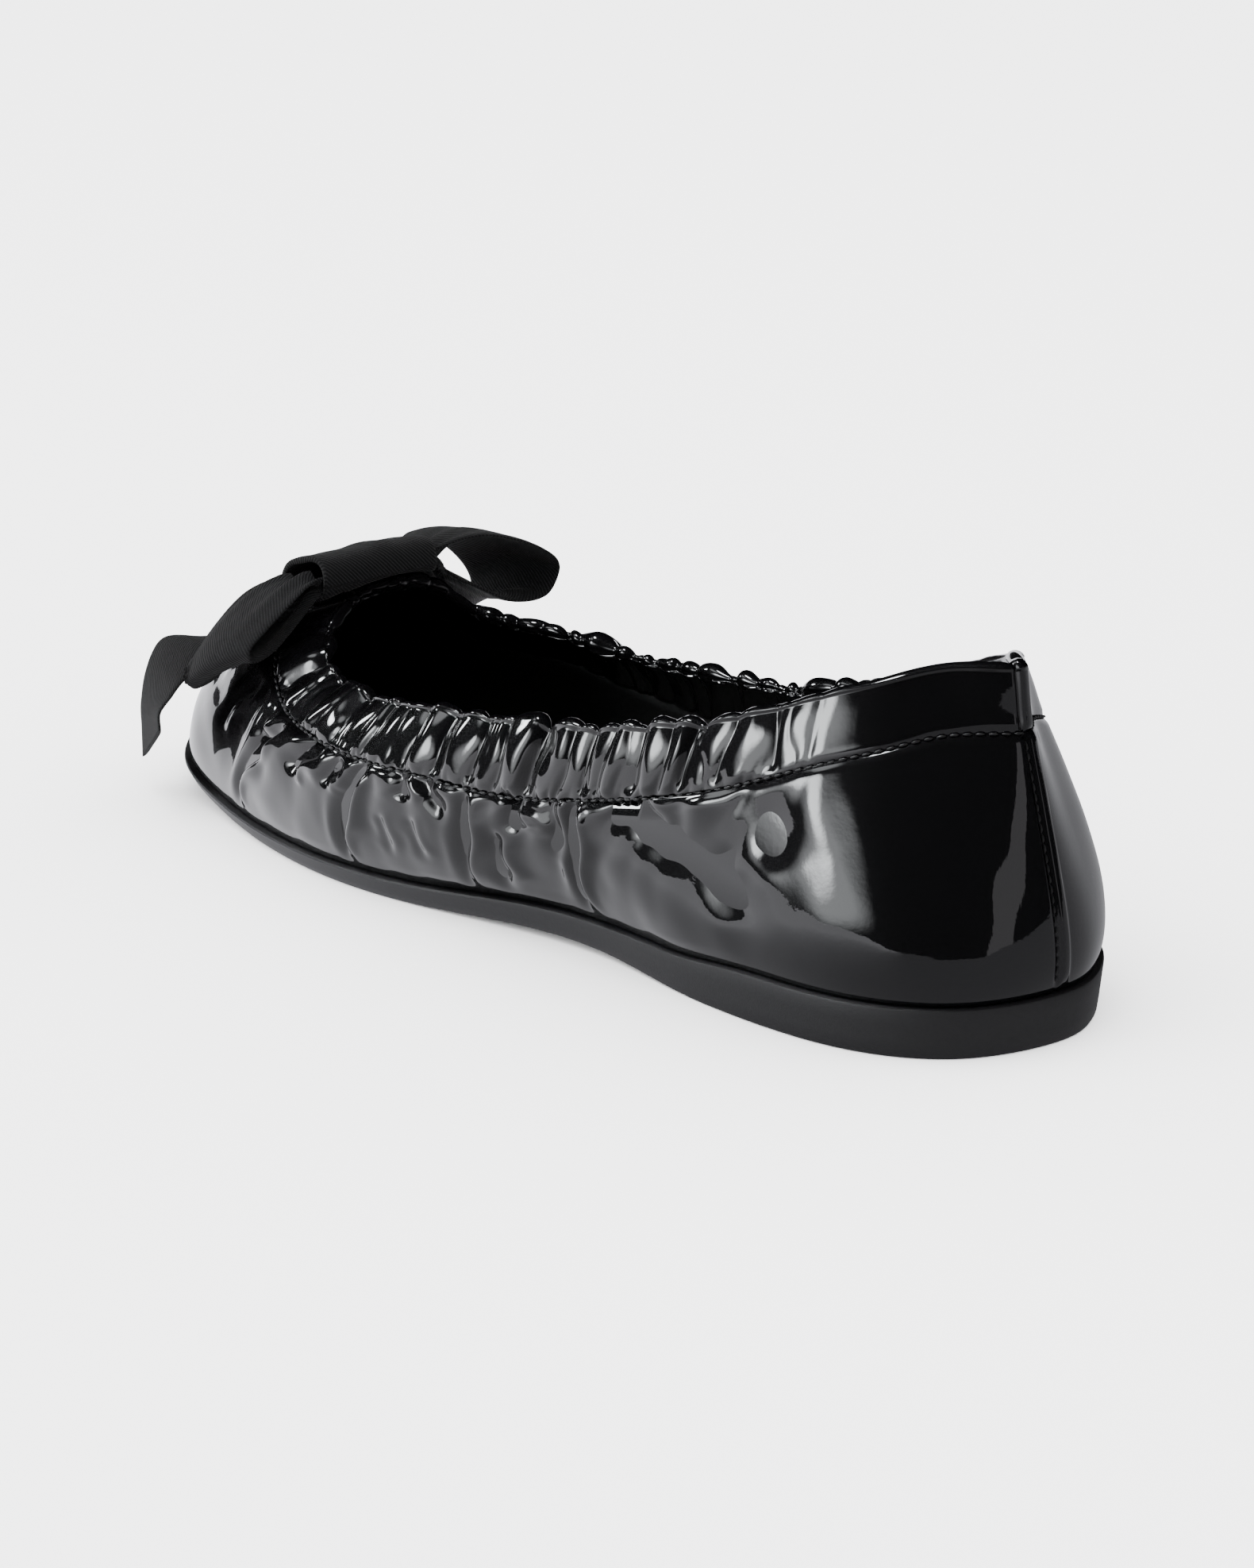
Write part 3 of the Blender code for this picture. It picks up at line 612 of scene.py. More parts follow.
def noise_bump(tree, shader, scale, depth, detail=3.0, socket="Normal", before=None):
    """Adds a noise relief of depth metres, features about 1 / scale metres wide."""
    place = tree.nodes.new("ShaderNodeTexCoord")
    noise = set_inputs(tree.nodes.new("ShaderNodeTexNoise"), Scale=scale, Detail=detail)
    bump = set_inputs(tree.nodes.new("ShaderNodeBump"), Distance=depth)
    link(tree, place, "Object", noise, "Vector")
    link(tree, noise, "Fac", bump, "Height")
    if before is not None:
        link(tree, before, "Normal", bump, "Normal")
    link(tree, bump, "Normal", shader, socket)
    return bump


def patent_look(name, grain_depth):
    """Black patent leather: a dark body under a clear glossy film with a faint orange-peel."""
    made, tree, shader = material(name, (0.0009, 0.0009, 0.0012), 0.42, Specular_IOR_Level=0.04)
    set_inputs(shader, Coat_Weight=1.0, Coat_Roughness=0.025, Coat_IOR=1.52)
    broad = noise_bump(tree, shader, 300.0, grain_depth * 0.7, 1.0, "Coat Normal")
    noise_bump(tree, shader, 1100.0, grain_depth * 0.6, 2.0, "Coat Normal", broad)
    return made


def rubber_look():
    black = (0.0038, 0.0036, 0.0046)
    made, tree, shader = material("sole_rubber_look", black, 0.56, Specular_IOR_Level=0.42)
    broad = noise_bump(tree, shader, 420.0, 0.00003)
    noise_bump(tree, shader, 2600.0, 0.00003, 3.0, "Normal", broad)
    return made


def lining_look():
    black = (0.0016, 0.0016, 0.0018)
    made, tree, shader = material("lining_look", black, 0.6, Specular_IOR_Level=0.3)
    noise_bump(tree, shader, 1500.0, 0.00004)
    return made


def thread_look():
    made, tree, shader = material("thread_look", (0.0030, 0.0030, 0.0034), 0.45)
    noise_bump(tree, shader, 5000.0, 0.00003)
    return made


def twill_look():
    """Black ribbon in a fine diagonal weave, read along the strip's own width and length."""
    black = (0.0045, 0.0045, 0.0048)
    made, tree, shader = material("ribbon_twill_look", black, 0.78, Specular_IOR_Level=0.08)
    set_inputs(shader, Sheen_Weight=0.02, Sheen_Roughness=0.45)
    place = tree.nodes.new("ShaderNodeUVMap")
    place.uv_map = "ribbon"
    wave = tree.nodes.new("ShaderNodeTexWave")
    wave.wave_type = "BANDS"
    wave.bands_direction = "DIAGONAL"
    set_inputs(wave, Scale=1.0 / TWILL_PITCH / math.pi, Distortion=0.6, Detail=1.0)
    grain = set_inputs(tree.nodes.new("ShaderNodeTexNoise"), Scale=1800.0, Detail=4.0)
    link(tree, place, "UV", wave, "Vector")
    link(tree, place, "UV", grain, "Vector")
    shade = tree.nodes.new("ShaderNodeValToRGB")
    shade.color_ramp.elements[0].color = (0.0012, 0.0012, 0.0013, 1)
    shade.color_ramp.elements[1].color = (0.0050, 0.0050, 0.0054, 1)
    link(tree, wave, "Fac", shade, "Fac")
    link(tree, shade, "Color", shader, "Base Color")
    weave = set_inputs(tree.nodes.new("ShaderNodeBump"), Distance=0.00010)
    link(tree, wave, "Fac", weave, "Height")
    fuzz = set_inputs(tree.nodes.new("ShaderNodeBump"), Distance=0.00006)
    link(tree, grain, "Fac", fuzz, "Height")
    link(tree, weave, "Normal", fuzz, "Normal")
    link(tree, fuzz, "Normal", shader, "Normal")
    return made


def placed(name, data):
    """A new object in the scene."""
    made = bpy.data.objects.new(name, data)
    bpy.context.scene.collection.objects.link(made)
    return made


def piece(name, points, faces, look):
    """A mesh from an array of points, measured from the heel's back end, and its faces."""
    moved = np.array(points, dtype=float)
    moved[:, 1] -= HEEL_REST_AT * LENGTH
    mesh = bpy.data.meshes.new(name)
    mesh.from_pydata(moved.tolist(), [], faces)
    mesh.update()
    mesh.shade_smooth()
    mesh.materials.append(look)
    made = placed(name, mesh)
    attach(made, "root")
    return made


def ring_faces(rows, columns, close_rows=False):
    """Quads between rings of points, columns round each ring, wound to face outward."""
    i = np.arange(rows if close_rows else rows - 1)[:, None]
    j = np.arange(columns)[None, :]
    low = i * columns + j
    low_next = i * columns + (j + 1) % columns
    high = (i + 1) % rows * columns + j
    high_next = (i + 1) % rows * columns + (j + 1) % columns
    return np.stack([low, high, high_next, low_next], axis=-1).reshape(-1, 4).tolist()


def end_faces(rows, columns):
    """Quads across the first and the last of the rings, from side to side of the shoe."""
    half = columns // 2
    faces = []
    for first, flip in ((0, True), ((rows - 1) * columns, False)):
        beyond = first + columns
        strip = [(first, first + 1, beyond - 1)]
        for i in range(1, half - 1):
            strip.append((first + i, first + i + 1, beyond - i - 1, beyond - i))
        strip.append((first + half - 1, first + half, first + half + 1))
        faces += [quad if flip else quad[::-1] for quad in strip]
    return faces


def ease(x):
    x = np.clip(x, 0, 1)
    return x * x * (3 - 2 * x)


def ripple(seed, x, y, size):
    """Smooth irregular waves of about that size, between about -1 and 1."""
    random = np.random.default_rng(seed)
    total = np.zeros(np.broadcast(x, y).shape)
    waves = 7
    for _ in range(waves):
        turn = random.uniform(0, math.pi)
        reach = 2 * math.pi / (size * random.uniform(0.7, 1.7))
        start = random.uniform(0, 2 * math.pi)
        total += np.sin(reach * (x * math.cos(turn) + y * math.sin(turn)) + start)
    return total / math.sqrt(waves)


def pillow_edges(seed, total, width):
    """Places of the valleys between gathers along a closed line, unevenly spaced."""
    random = np.random.default_rng(seed)
    count = int(total / width)
    widths = random.uniform(0.45, 1.7, count)
    places = np.concatenate([[0.0], np.cumsum(widths)]) / widths.sum() * total
    heights = np.minimum(widths / widths.mean(), 1.25) * random.uniform(0.65, 1.10, count)
    return places, heights


def pillows(s, edges, heights, roundness):
    """Rounded swellings between neighbouring valleys, zero in each valley."""
    s = np.mod(s, edges[-1])
    i = np.clip(np.searchsorted(edges, s, side="right") - 1, 0, len(heights) - 1)
    across = 2 * (s - edges[i]) / (edges[i + 1] - edges[i]) - 1
    return heights[i] * (1 - np.abs(across) ** roundness)


def gathers(wall, seed, width, s, level, roundness=2.2):
    """Gathers about width apart around the collar, read at s and measured from level."""
    edges, heights = pillow_edges(seed, wall.girth, width)
    return pillows(s, edges, heights, roundness) - level


def averaged_along(relief):
    """Relief averaged with its neighbours along each row around the shoe."""
    return (np.roll(relief, 1, axis=1) + 2 * relief + np.roll(relief, -1, axis=1)) / 4


class Wall:
    """The upper's wall at a given fineness, with its seam and its own length along the collar."""

    def __init__(self, steps):
        self.steps = steps
        self.columns = steps * len(SECTIONS)
        self.place = np.arange(self.columns) / steps
        self.corners = wall_handles(steps)
        shares = around_last(lambda row: (row.casing,), steps)[:, 0]
        self.seam = seam_places(self.corners, shares * CASING_WIDTH)
        top = self.corners[3]
        legs = np.linalg.norm(np.roll(top, -1, axis=0) - top, axis=1)
        self.along = np.concatenate([[0.0], np.cumsum(legs)[:-1]])
        self.girth = legs.sum()
        rows = [row.place for row in GATHERS]
        self.gather = np.interp(self.place, rows, [row.strength for row in GATHERS])

    def rows(self, start, end, count, power=1.0):
        """Points and normals of count rows between two places on each section's curve."""
        shares = np.linspace(0, 1, count) ** power
        pairs = [wall_row(self.corners, start + (end - start) * share) for share in shares]
        return tuple(np.array(part) for part in zip(*pairs))

    def at(self, place, up):
        """Point on the wall at a section place and a share of the height to the seam."""
        exact = place * self.steps
        left = int(math.floor(exact)) % self.columns
        right = (left + 1) % self.columns
        part = exact - math.floor(exact)
        pair = []
        for column in (left, right):
            corners = [corner[column : column + 1] for corner in self.corners]
            pair.append(wall_point(corners, np.array([self.seam[column] * up]))[0])
        return pair[0] * (1 - part) + pair[1] * part


def crease_line(wall, row):
    """Points along a crease, bowed sideways by its bend."""
    line = []
    for share in np.linspace(0, 1, CREASE_STEPS):
        bow = row.bend * math.sin(math.pi * share)
        place = row.place + (row.to_place - row.place) * share + bow
        line.append(wall.at(place, row.up + (row.to_up - row.up) * share))
    return np.array(line)


def crease_relief(wall, points, normals):
    """Height of the surface over the smooth wall that the creases and dents give each point."""
    relief = np.zeros(points.shape[:2])
    for row in CREASES:
        line = crease_line(wall, row)
        reach = CREASE_REACH * row.width
        near = np.all(
            (points > line.min(axis=0) - reach) & (points < line.max(axis=0) + reach), axis=2
        )
        spots = points[near]
        if not len(spots):
            continue
        legs = np.diff(line, axis=0)
        sizes = (legs**2).sum(axis=1)
        offset = spots[:, None, :] - line[None, :-1]
        part = np.clip((offset * legs[None]).sum(axis=2) / sizes, 0, 1)
        gap = offset - legs[None] * part[:, :, None]
        distance = np.linalg.norm(gap, axis=2)
        nearest = distance.argmin(axis=1)
        index = np.arange(len(spots))
        far = distance[index, nearest]
        share = (nearest + part[index, nearest]) / len(legs)
        side = np.sign((np.cross(legs[nearest], gap[index, nearest]) * normals[near]).sum(axis=1))
        wander = 1 + 0.25 * np.sin(share * 9 + row.place * 5)
        x = far / row.width * wander
        ends = ease(share / 0.22 + 0.12) * ease((1 - share) / 0.35)
        valley = -row.depth * np.exp(-(x**1.7))
        lip = row.lip * np.exp(-((x * side - 1.9) ** 2) / 1.1)
        far_lip = 0.35 * row.lip * np.exp(-((x * side + 2.2) ** 2) / 1.6)
        relief[near] += (valley + lip + far_lip) * ends
    for _ in range(SOFTEN_TIMES):
        relief = averaged_along(relief)
        relief[1:-1] = (relief[:-2] + 2 * relief[1:-1] + relief[2:]) / 4
    for row in DENTS:
        centre = wall.at(row.place, row.up)
        far = np.linalg.norm(points - centre, axis=2) / row.radius
        relief -= row.depth * np.exp(-(far**2))
    return relief


def seam_relief(points, normals, groove_shift=0.0):
    """Lapped back seam: a sewn groove on the middle line and a raised lap beside it."""
    across = points[..., 0] - groove_shift
    behind = normals[..., 1] < -0.2
    groove = -SEAM_GROOVE_DEPTH * np.exp(-((across / SEAM_GROOVE) ** 2))
    lap = SEAM_STEP * ease((across + 0.0004) / 0.0008) * ease((SEAM_LAP - across) / 0.0009)
    return np.where(behind, groove + lap, 0.0)


def build_upper(look, lining):
    """Vamp and quarters: a closed skin with its creases, and the lining behind it."""
    wall = Wall(UPPER_STEPS)
    foot = np.zeros(wall.columns)
    points, normals = wall.rows(foot, wall.seam, UPPER_ROWS, UPPER_ROW_POWER)
    below = np.linalg.norm(points - points[-1][None], axis=2)
    above = points[..., 2] - points[0][None, :, 2]
    along = wall.along[None, :]
    s = along + 0.0009 * ripple(3, along, below, 0.012)
    strength = wall.gather[None, :]
    drift = below * 0.35 * ripple(5, along, 0.0, 0.05)
    fine = gathers(wall, GATHER_SEED, GATHER_WIDTH, s + drift * 0.5, 0.45)
    wide = gathers(wall, 23, PUCKER_WIDTH, s + drift, 0.5)
    fine_fade = np.exp(-below / (FINE_FADE_SHARE * PUCKER_FADE))
    grow = ease(below / PUCKER_START)
    relief = strength * GATHER_DEPTH * FINE_SHARE * fine * fine_fade * grow
    relief += strength * PUCKER_DEPTH * wide * np.exp(-below / PUCKER_FADE) * grow
    for _ in range(PUCKER_SOFTEN_TIMES):
        relief = averaged_along(relief)
    relief += crease_relief(wall, points, normals)
    body = ease(below / 0.010) * ease(above / 0.008)
    soft = 0.25 + 0.75 * strength
    x, y, z = points[..., 0], points[..., 1], points[..., 2]
    for row in SWELLS:
        relief += row.height * soft * body * ripple(row.seed, y + row.across * x, z, row.size)
    relief -= STITCH_PULL * np.exp(-((below / 0.0009) ** 2))
    foot_fade = ease(above / FOOT_FADE)
    relief = relief * (0.35 + 0.65 * foot_fade) + seam_relief(points, normals) * foot_fade
    outer = points + normals * relief[..., None]
    back_points, back_normals = wall.rows(foot, wall.seam, LINING_ROWS)
    inner = back_points - back_normals * WALL * SKIN_SHARE
    inner[0, :, :2] = points[0, :, :2] - outward(points[0]) * WALL
    rings = np.concatenate([outer, inner[::-1]])
    faces = ring_faces(len(rings), wall.columns, close_rows=True)
    made = piece("upper_skin", rings.reshape(-1, 3), faces, look)
    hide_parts("upper")

    front = back_points - back_normals * WALL * LINING_FROM
    back = back_points - back_normals * WALL
    back[0] = front[0] - np.column_stack([outward(points[0]), np.zeros(wall.columns)]) * 0.0003
    rings = np.concatenate([front, back[::-1]])[:, ::LINING_STRIDE]
    faces = ring_faces(len(rings), wall.columns // LINING_STRIDE, close_rows=True)
    piece("upper_lining", rings.reshape(-1, 3), faces, lining)


def casing_rings(wall):
    """Smooth rings of the casing, their outward ways, and each ring's level: 0 at the stitch
    line, 1 where the crest begins and 2 at the bottom of its back."""
    proud = (CASING_THICK - WALL) / 2
    radius = CASING_THICK / 2
    top = np.ones(wall.columns)
    face, face_normals = wall.rows(wall.seam, top, CASING_FACE_ROWS)
    edge_up = face[-1] - face[-2]
    edge_up /= np.linalg.norm(edge_up, axis=1)[:, None]
    rings, ways, levels = [], [], []
    for row, height in enumerate(np.linspace(0, 1, CASING_FACE_ROWS)[:-2]):
        swell = proud * CASING_SHOW * ease(height / CASING_GROWTH)
        swell -= STITCH_PULL * math.exp(-((height / 0.06) ** 2))
        rings.append(face[row] + face_normals[row] * swell)
        ways.append(face_normals[row])
        levels.append(height)
    normal = face_normals[-1]
    centre = face[-1] - normal * (radius - proud) - edge_up * radius
    for angle in np.linspace(0, math.pi, CASING_CREST_ROWS):
        way = normal * math.cos(angle) + edge_up * math.sin(angle)
        rings.append(centre + way * radius)
        ways.append(way)
        levels.append(1.0 + angle / math.pi * 0.35)
    back, back_normals = wall.rows(wall.seam, top, CASING_BACK_ROWS)
    for row in range(CASING_BACK_ROWS - 2, -1, -1):
        rings.append(back[row] - back_normals[row] * (proud + WALL))
        ways.append(-back_normals[row])
        levels.append(1.4 + 0.6 * (1 - row / CASING_BACK_ROWS))
    return np.array(rings), np.array(ways), np.array(levels)[:, None], face_normals[0], edge_up


def build_casing(look):
    """Turned collar edge, ruched on its elastic, from the stitch line over the crest and back."""
    wall = Wall(CASING_STEPS)
    rings, ways, levels, seam_normals, edge_up = casing_rings(wall)
    s = wall.along[None, :]
    strength = wall.gather[None, :]
    height = levels * CASING_WIDTH
    lean = 0.0011 * ripple(31, s, 0.0, 0.03) * (levels - 0.5)
    wave = 0.0007 * ripple(37, s, height, 0.010)
    fine = gathers(wall, GATHER_SEED, GATHER_WIDTH, s + lean + wave, 0.55, 1.9)
    wide = gathers(wall, 41, 2.1 * GATHER_WIDTH, s - lean + wave * 1.6, 0.55, 2.0)
    small = gathers(wall, 43, 0.5 * GATHER_WIDTH, s + wave, 0.55, 2.0)
    at_seam = np.exp(-((levels / 0.16) ** 2))
    face_part = ease(levels / 0.16) * (1 - 0.25 * ease((levels - 0.8) / 0.3))
    back_part = 1 - 0.45 * ease((levels - 1.15) / 0.5)
    body = face_part * back_part
    relief = GATHER_DEPTH * strength * body * (0.66 * fine + 0.66 * wide)
    relief += GATHER_DEPTH * strength * 0.26 * small * at_seam
    relief -= 0.0003 * strength * body
    relief += 0.00008 * ripple(47, s, height, 0.012) * ease(levels / 0.2)
    seam_part = ease((1.35 - levels) / 0.30) * ease(levels / 0.05)
    relief += seam_relief(rings, seam_normals[None], -0.0006) * seam_part
    rings = rings + ways * relief[..., None]
    crest = ease((levels - 0.55) / 0.5) * ease((1.75 - levels) / 0.5)
    rings += edge_up[None] * (CREST_SCALLOP * strength * crest * (0.5 * fine + wide))[..., None]
    faces = ring_faces(len(rings), wall.columns, close_rows=True)
    made = piece("collar_casing_ruched", rings.reshape(-1, 3), faces, look)
    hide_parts("collar_casing")


def stitch_row(name, line, ways, look, pitch):
    """Short rounded stitches laid end to end along a line, sunk by half in the leather."""
    legs = np.linalg.norm(np.diff(line, axis=0), axis=1)
    along = np.concatenate([[0.0], np.cumsum(legs)])

    def read(rows, place):
        return np.array([np.interp(place, along, rows[:, axis]) for axis in range(3)])

    points, faces = [], []
    for k in range(int(along[-1] / pitch)):
        middle = (k + 0.5) * pitch
        base = len(points)
        for r in range(STITCH_RINGS):
            share = r / (STITCH_RINGS - 1) * 2 - 1
            place = middle + share * STITCH_LENGTH / 2
            here = read(line, place)
            way = read(ways, place)
            tangent = read(line, place + 0.0003) - here
            tangent /= np.linalg.norm(tangent) + 1e-12
            side = np.cross(tangent, way)
            side /= np.linalg.norm(side) + 1e-12
            thick = STITCH_THICK / 2 * math.sqrt(max(1 - share**4 * 0.9, 0.05))
            lift = STITCH_THICK * 0.30 * (1 - share**2)
            for a in range(STITCH_SIDES):
                angle = 2 * math.pi * a / STITCH_SIDES
                around = side * math.cos(angle) + way * math.sin(angle)
                points.append(here + way * lift + thick * around)
        for r in range(STITCH_RINGS - 1):
            low = base + r * STITCH_SIDES
            high = low + STITCH_SIDES
            for a in range(STITCH_SIDES):
                b = (a + 1) % STITCH_SIDES
                faces.append((low + a, low + b, high + b, high + a))
        beyond = base + STITCH_RINGS * STITCH_SIDES
        faces.append(tuple(range(base, base + STITCH_SIDES))[::-1])
        faces.append(tuple(range(beyond - STITCH_SIDES, beyond)))
    piece(name, points, faces, look)


def build_stitches(look):
    """The casing's row around the shoe, and the back seam's row."""
    wall = Wall(UPPER_STEPS)
    line, normals = wall_row(wall.corners, wall.seam)
    line = line - normals * STITCH_PULL * 0.8
    ways = np.vstack([normals, normals[:1]])
    stitch_row("casing_stitches", np.vstack([line, line[:1]]), ways, look, STITCH_PITCH)
    ups = np.linspace(*SEAM_STITCHES, 60)
    corners = [corner[:1] for corner in wall.corners]
    column = np.array([wall_point(corners, np.array([wall.seam[0] * up]))[0] for up in ups])
    away = np.tile((0.0, -1.0, 0.0), (len(ups), 1))
    column[:, 1] += SEAM_GROOVE_DEPTH * 0.7
    stitch_row("back_seam_stitches", column, away, look, STITCH_PITCH * 0.8)


def build_sole(look):
    """Unit sole with rounded edges below and above its tucked side."""
    edge = sole_edge(SOLE_STEPS)
    normals = outward(edge)
    bottom = sole_bottom(edge[:, 1])
    tall = sole_top(edge[:, 1]) - bottom
    rings = []
    for row in SOLE_PROFILE:
        rings.append(
            np.column_stack([edge - normals * row.depth, bottom + tall * row.share + row.rise])
        )
    rings = np.array(rings)
    faces = ring_faces(len(rings), len(edge)) + end_faces(len(rings), len(edge))
    made = piece("unit_sole", rings.reshape(-1, 3), faces, look)
    made.data.set_sharp_from_angle(angle=math.radians(SOLE_SHARP_FROM))
    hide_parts("outsole")


def build_sock(look):
    """Padded sock: a soft pad, crowned over its middle and rounded at its edge."""
    edge = sole_edge(SOLE_STEPS)
    normals = outward(edge)
    depth = FEATHER_INSET + WALL + INSOLE_CLEARANCE
    low = edge - normals * depth
    floor = sole_top(edge[:, 1]) + SEAT_GAP
    rings = [
        np.column_stack([low, floor]),
        np.column_stack([low, floor + INSOLE_THICK * 0.55]),
    ]
    for inward in SOCK_EDGE:
        lift = INSOLE_THICK * (1 - 0.45 * math.exp(-inward / 0.0006))
        rings.append(np.column_stack([edge - normals * (depth + inward), floor + lift]))
    last = edge - normals * (depth + SOCK_EDGE[-1])
    for share in SOCK_ROWS:
        ring = last.copy()
        ring[:, 0] = last[:, 0] * (1 - share)
        heights = sole_top(ring[:, 1]) + SEAT_GAP + INSOLE_THICK + 0.0002 * math.sin(share * 3)
        rings.append(np.column_stack([ring, heights]))
    rings = np.array(rings)
    faces = ring_faces(len(rings), len(edge)) + end_faces(len(rings), len(edge))
    made = piece("sock_pad", rings.reshape(-1, 3), faces, look)
    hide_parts("insole")


def height_under(*names):
    """Height of the highest of the named solids below a point given from the heel's back end."""
    trees = []
    for name in names:
        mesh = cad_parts[name].data
        trees.append(
            BVHTree.FromPolygons(
                [vertex.co for vertex in mesh.vertices],
                [polygon.vertices for polygon in mesh.polygons],
            )
        )

    def height(x, y, around):
        found = [0.0]
        for dx, dy in ((0, 0), (-around, 0), (around, 0), (0, -around), (0, around)):
            start = Vector((x + dx, y + dy - HEEL_REST_AT * LENGTH, SKY))
            for tree in trees:
                hit = tree.ray_cast(start, Vector((0, 0, -1)))[0]
                if hit is not None:
                    found.append(hit.z)
        return max(found)

    return height


def ribbon_seat(wall):
    """Rear and front edge, in y, and middle height of the ribbon where it passes the knot."""
    throat = wall.corners[3][len(wall.corners[3]) // 2]
    root = LATERAL_LOOP[0]
    rear = throat[1] - BOW_SETBACK
    front = rear + RIBBON_WIDTH * root.wide * math.cos(math.radians(root.pitch))
    return rear, front, throat[2] + SEAT_GAP + RIBBON_RISE


def strip_points(folds, side, reach, droop, start):
    """Middle line of a ribbon and the half of its width, at even places along it."""
    rows = open_curve(folds, RIBBON_FINE_STEPS)
    x0, y0, z0 = start
    middle = np.column_stack(
        [
            side * (x0 + rows[:, 0] * reach),
            y0 + rows[:, 1] * RIBBON_WIDTH,
            z0 + rows[:, 2] * droop,
        ]
    )
    yaw = np.radians(rows[:, 4])
    pitch = np.radians(rows[:, 5])
    level = np.cos(pitch)
    way = np.column_stack([-side * np.sin(yaw) * level, np.cos(yaw) * level, -np.sin(pitch)])
    return middle, way * rows[:, 3:4] * RIBBON_WIDTH / 2


def lay_weave(mesh, across, along):
    """Ribbon coordinates in metres, from each point's place across and along its strip."""
    layer = mesh.uv_layers.new(name="ribbon")
    index = np.zeros(len(mesh.loops), dtype=int)
    mesh.loops.foreach_get("vertex_index", index)
    layer.data.foreach_set("uv", np.column_stack([across[index], along[index]]).ravel())


def ribbon_top(middle, half, normal, length, cut, height, seed, both_ends):
    """Upper face of a strip: arched, pleated beside the knot, softly waved and laid on top of
    what is below it."""
    upward = normal * normal[:, 2:3]
    total = length[-1]
    last = len(middle) - 1
    pleats = np.random.default_rng(seed).uniform(0.8, 1.2, 5)
    shares = np.linspace(-1, 1, RIBBON_FINE_ROWS + 1)
    top = np.zeros((len(middle), len(shares), 3))
    for i in range(len(middle)):
        from_knot = min(length[i], total - length[i]) if both_ends else length[i]
        arch = (TAIL_CROWN if cut else CROWN) * min(1.0, from_knot / (total * CROWN_RAMP))
        slant = cut * max(0.0, (i / last - 1 + TAIL_CUT_RAMP) / TAIL_CUT_RAMP)
        pleat = PLEAT_DEPTH * math.exp(-from_knot / PLEAT_FADE)
        for j, share in enumerate(shares):
            folds = math.cos(share * math.pi * 2.5 * pleats[0] + pleats[1] * 3)
            folds += 0.6 * math.cos(share * math.pi * 4.3 * pleats[2] + pleats[3] * 5)
            wave = RIBBON_WAVE * math.sin(length[i] / 0.011 + share * 1.8 + seed)
            wave *= min(1.0, from_knot / 0.012)
            point = middle[i] + half[i] * share + upward[i] * arch * (1 - share**2)
            point = point + normal[i] * (pleat * folds + wave * (0.35 + 0.65 * share**2))
            point = point - np.array((0, 0, slant * share))
            floor = height(point[0], point[1], RIBBON_THICK) + RIBBON_CLEAR + RIBBON_THICK
            if floor - point[2] < LIFT_MOST:
                point[2] = max(point[2], floor)
            top[i, j] = point
    return top, shares


def build_ribbon(name, node, look, strip, cut, height, seed, both_ends):
    """A woven strip with its gathers at the knot, soft waves and thin rounded edges."""
    middle, half = strip
    normal = np.cross(half, np.gradient(middle, axis=0))
    normal /= np.linalg.norm(normal, axis=1)[:, None]
    if normal[0, 2] < 0:
        normal = -normal
    legs = np.linalg.norm(np.diff(middle, axis=0), axis=1)
    length = np.concatenate([[0.0], np.cumsum(legs)])
    top, shares = ribbon_top(middle, half, normal, length, cut, height, seed, both_ends)
    face = np.cross(np.gradient(top, axis=1), np.gradient(top, axis=0))
    face /= np.linalg.norm(face, axis=2)[..., None] + 1e-12
    if (face[0] * normal[0]).sum() < 0:
        face = -face
    edge = np.sqrt(np.clip(1 - np.abs(shares) ** 10, 0.12, 1))[None, :, None]
    thick = RIBBON_THICK * RIBBON_SHOWN
    under = top - face * thick * (0.5 + 0.5 * edge)
    over = top - face * thick * (0.5 - 0.5 * edge)
    columns = 2 * len(shares)
    rings = np.concatenate([over, under[:, ::-1]], axis=1)
    faces = ring_faces(len(middle), columns)
    faces.append(tuple(range(columns)))
    faces.append(tuple(range((len(middle) - 1) * columns, len(middle) * columns))[::-1])
    made = piece(name, rings.reshape(-1, 3), faces, look)
    across = np.concatenate([shares, shares[::-1]]) * RIBBON_WIDTH / 2
    lay_weave(made.data, np.tile(across, len(middle)), np.repeat(length, columns))
    turn_outward(made.data)
    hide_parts(node)


def turn_outward(mesh):
    """Turns a closed mesh's faces outward."""
    builder = bmesh.new()
    builder.from_mesh(mesh)
    bmesh.ops.recalc_face_normals(builder, faces=builder.faces)
    if builder.calc_volume(signed=True) < 0:
        bmesh.ops.reverse_faces(builder, faces=builder.faces)
    builder.to_mesh(mesh)
    builder.free()


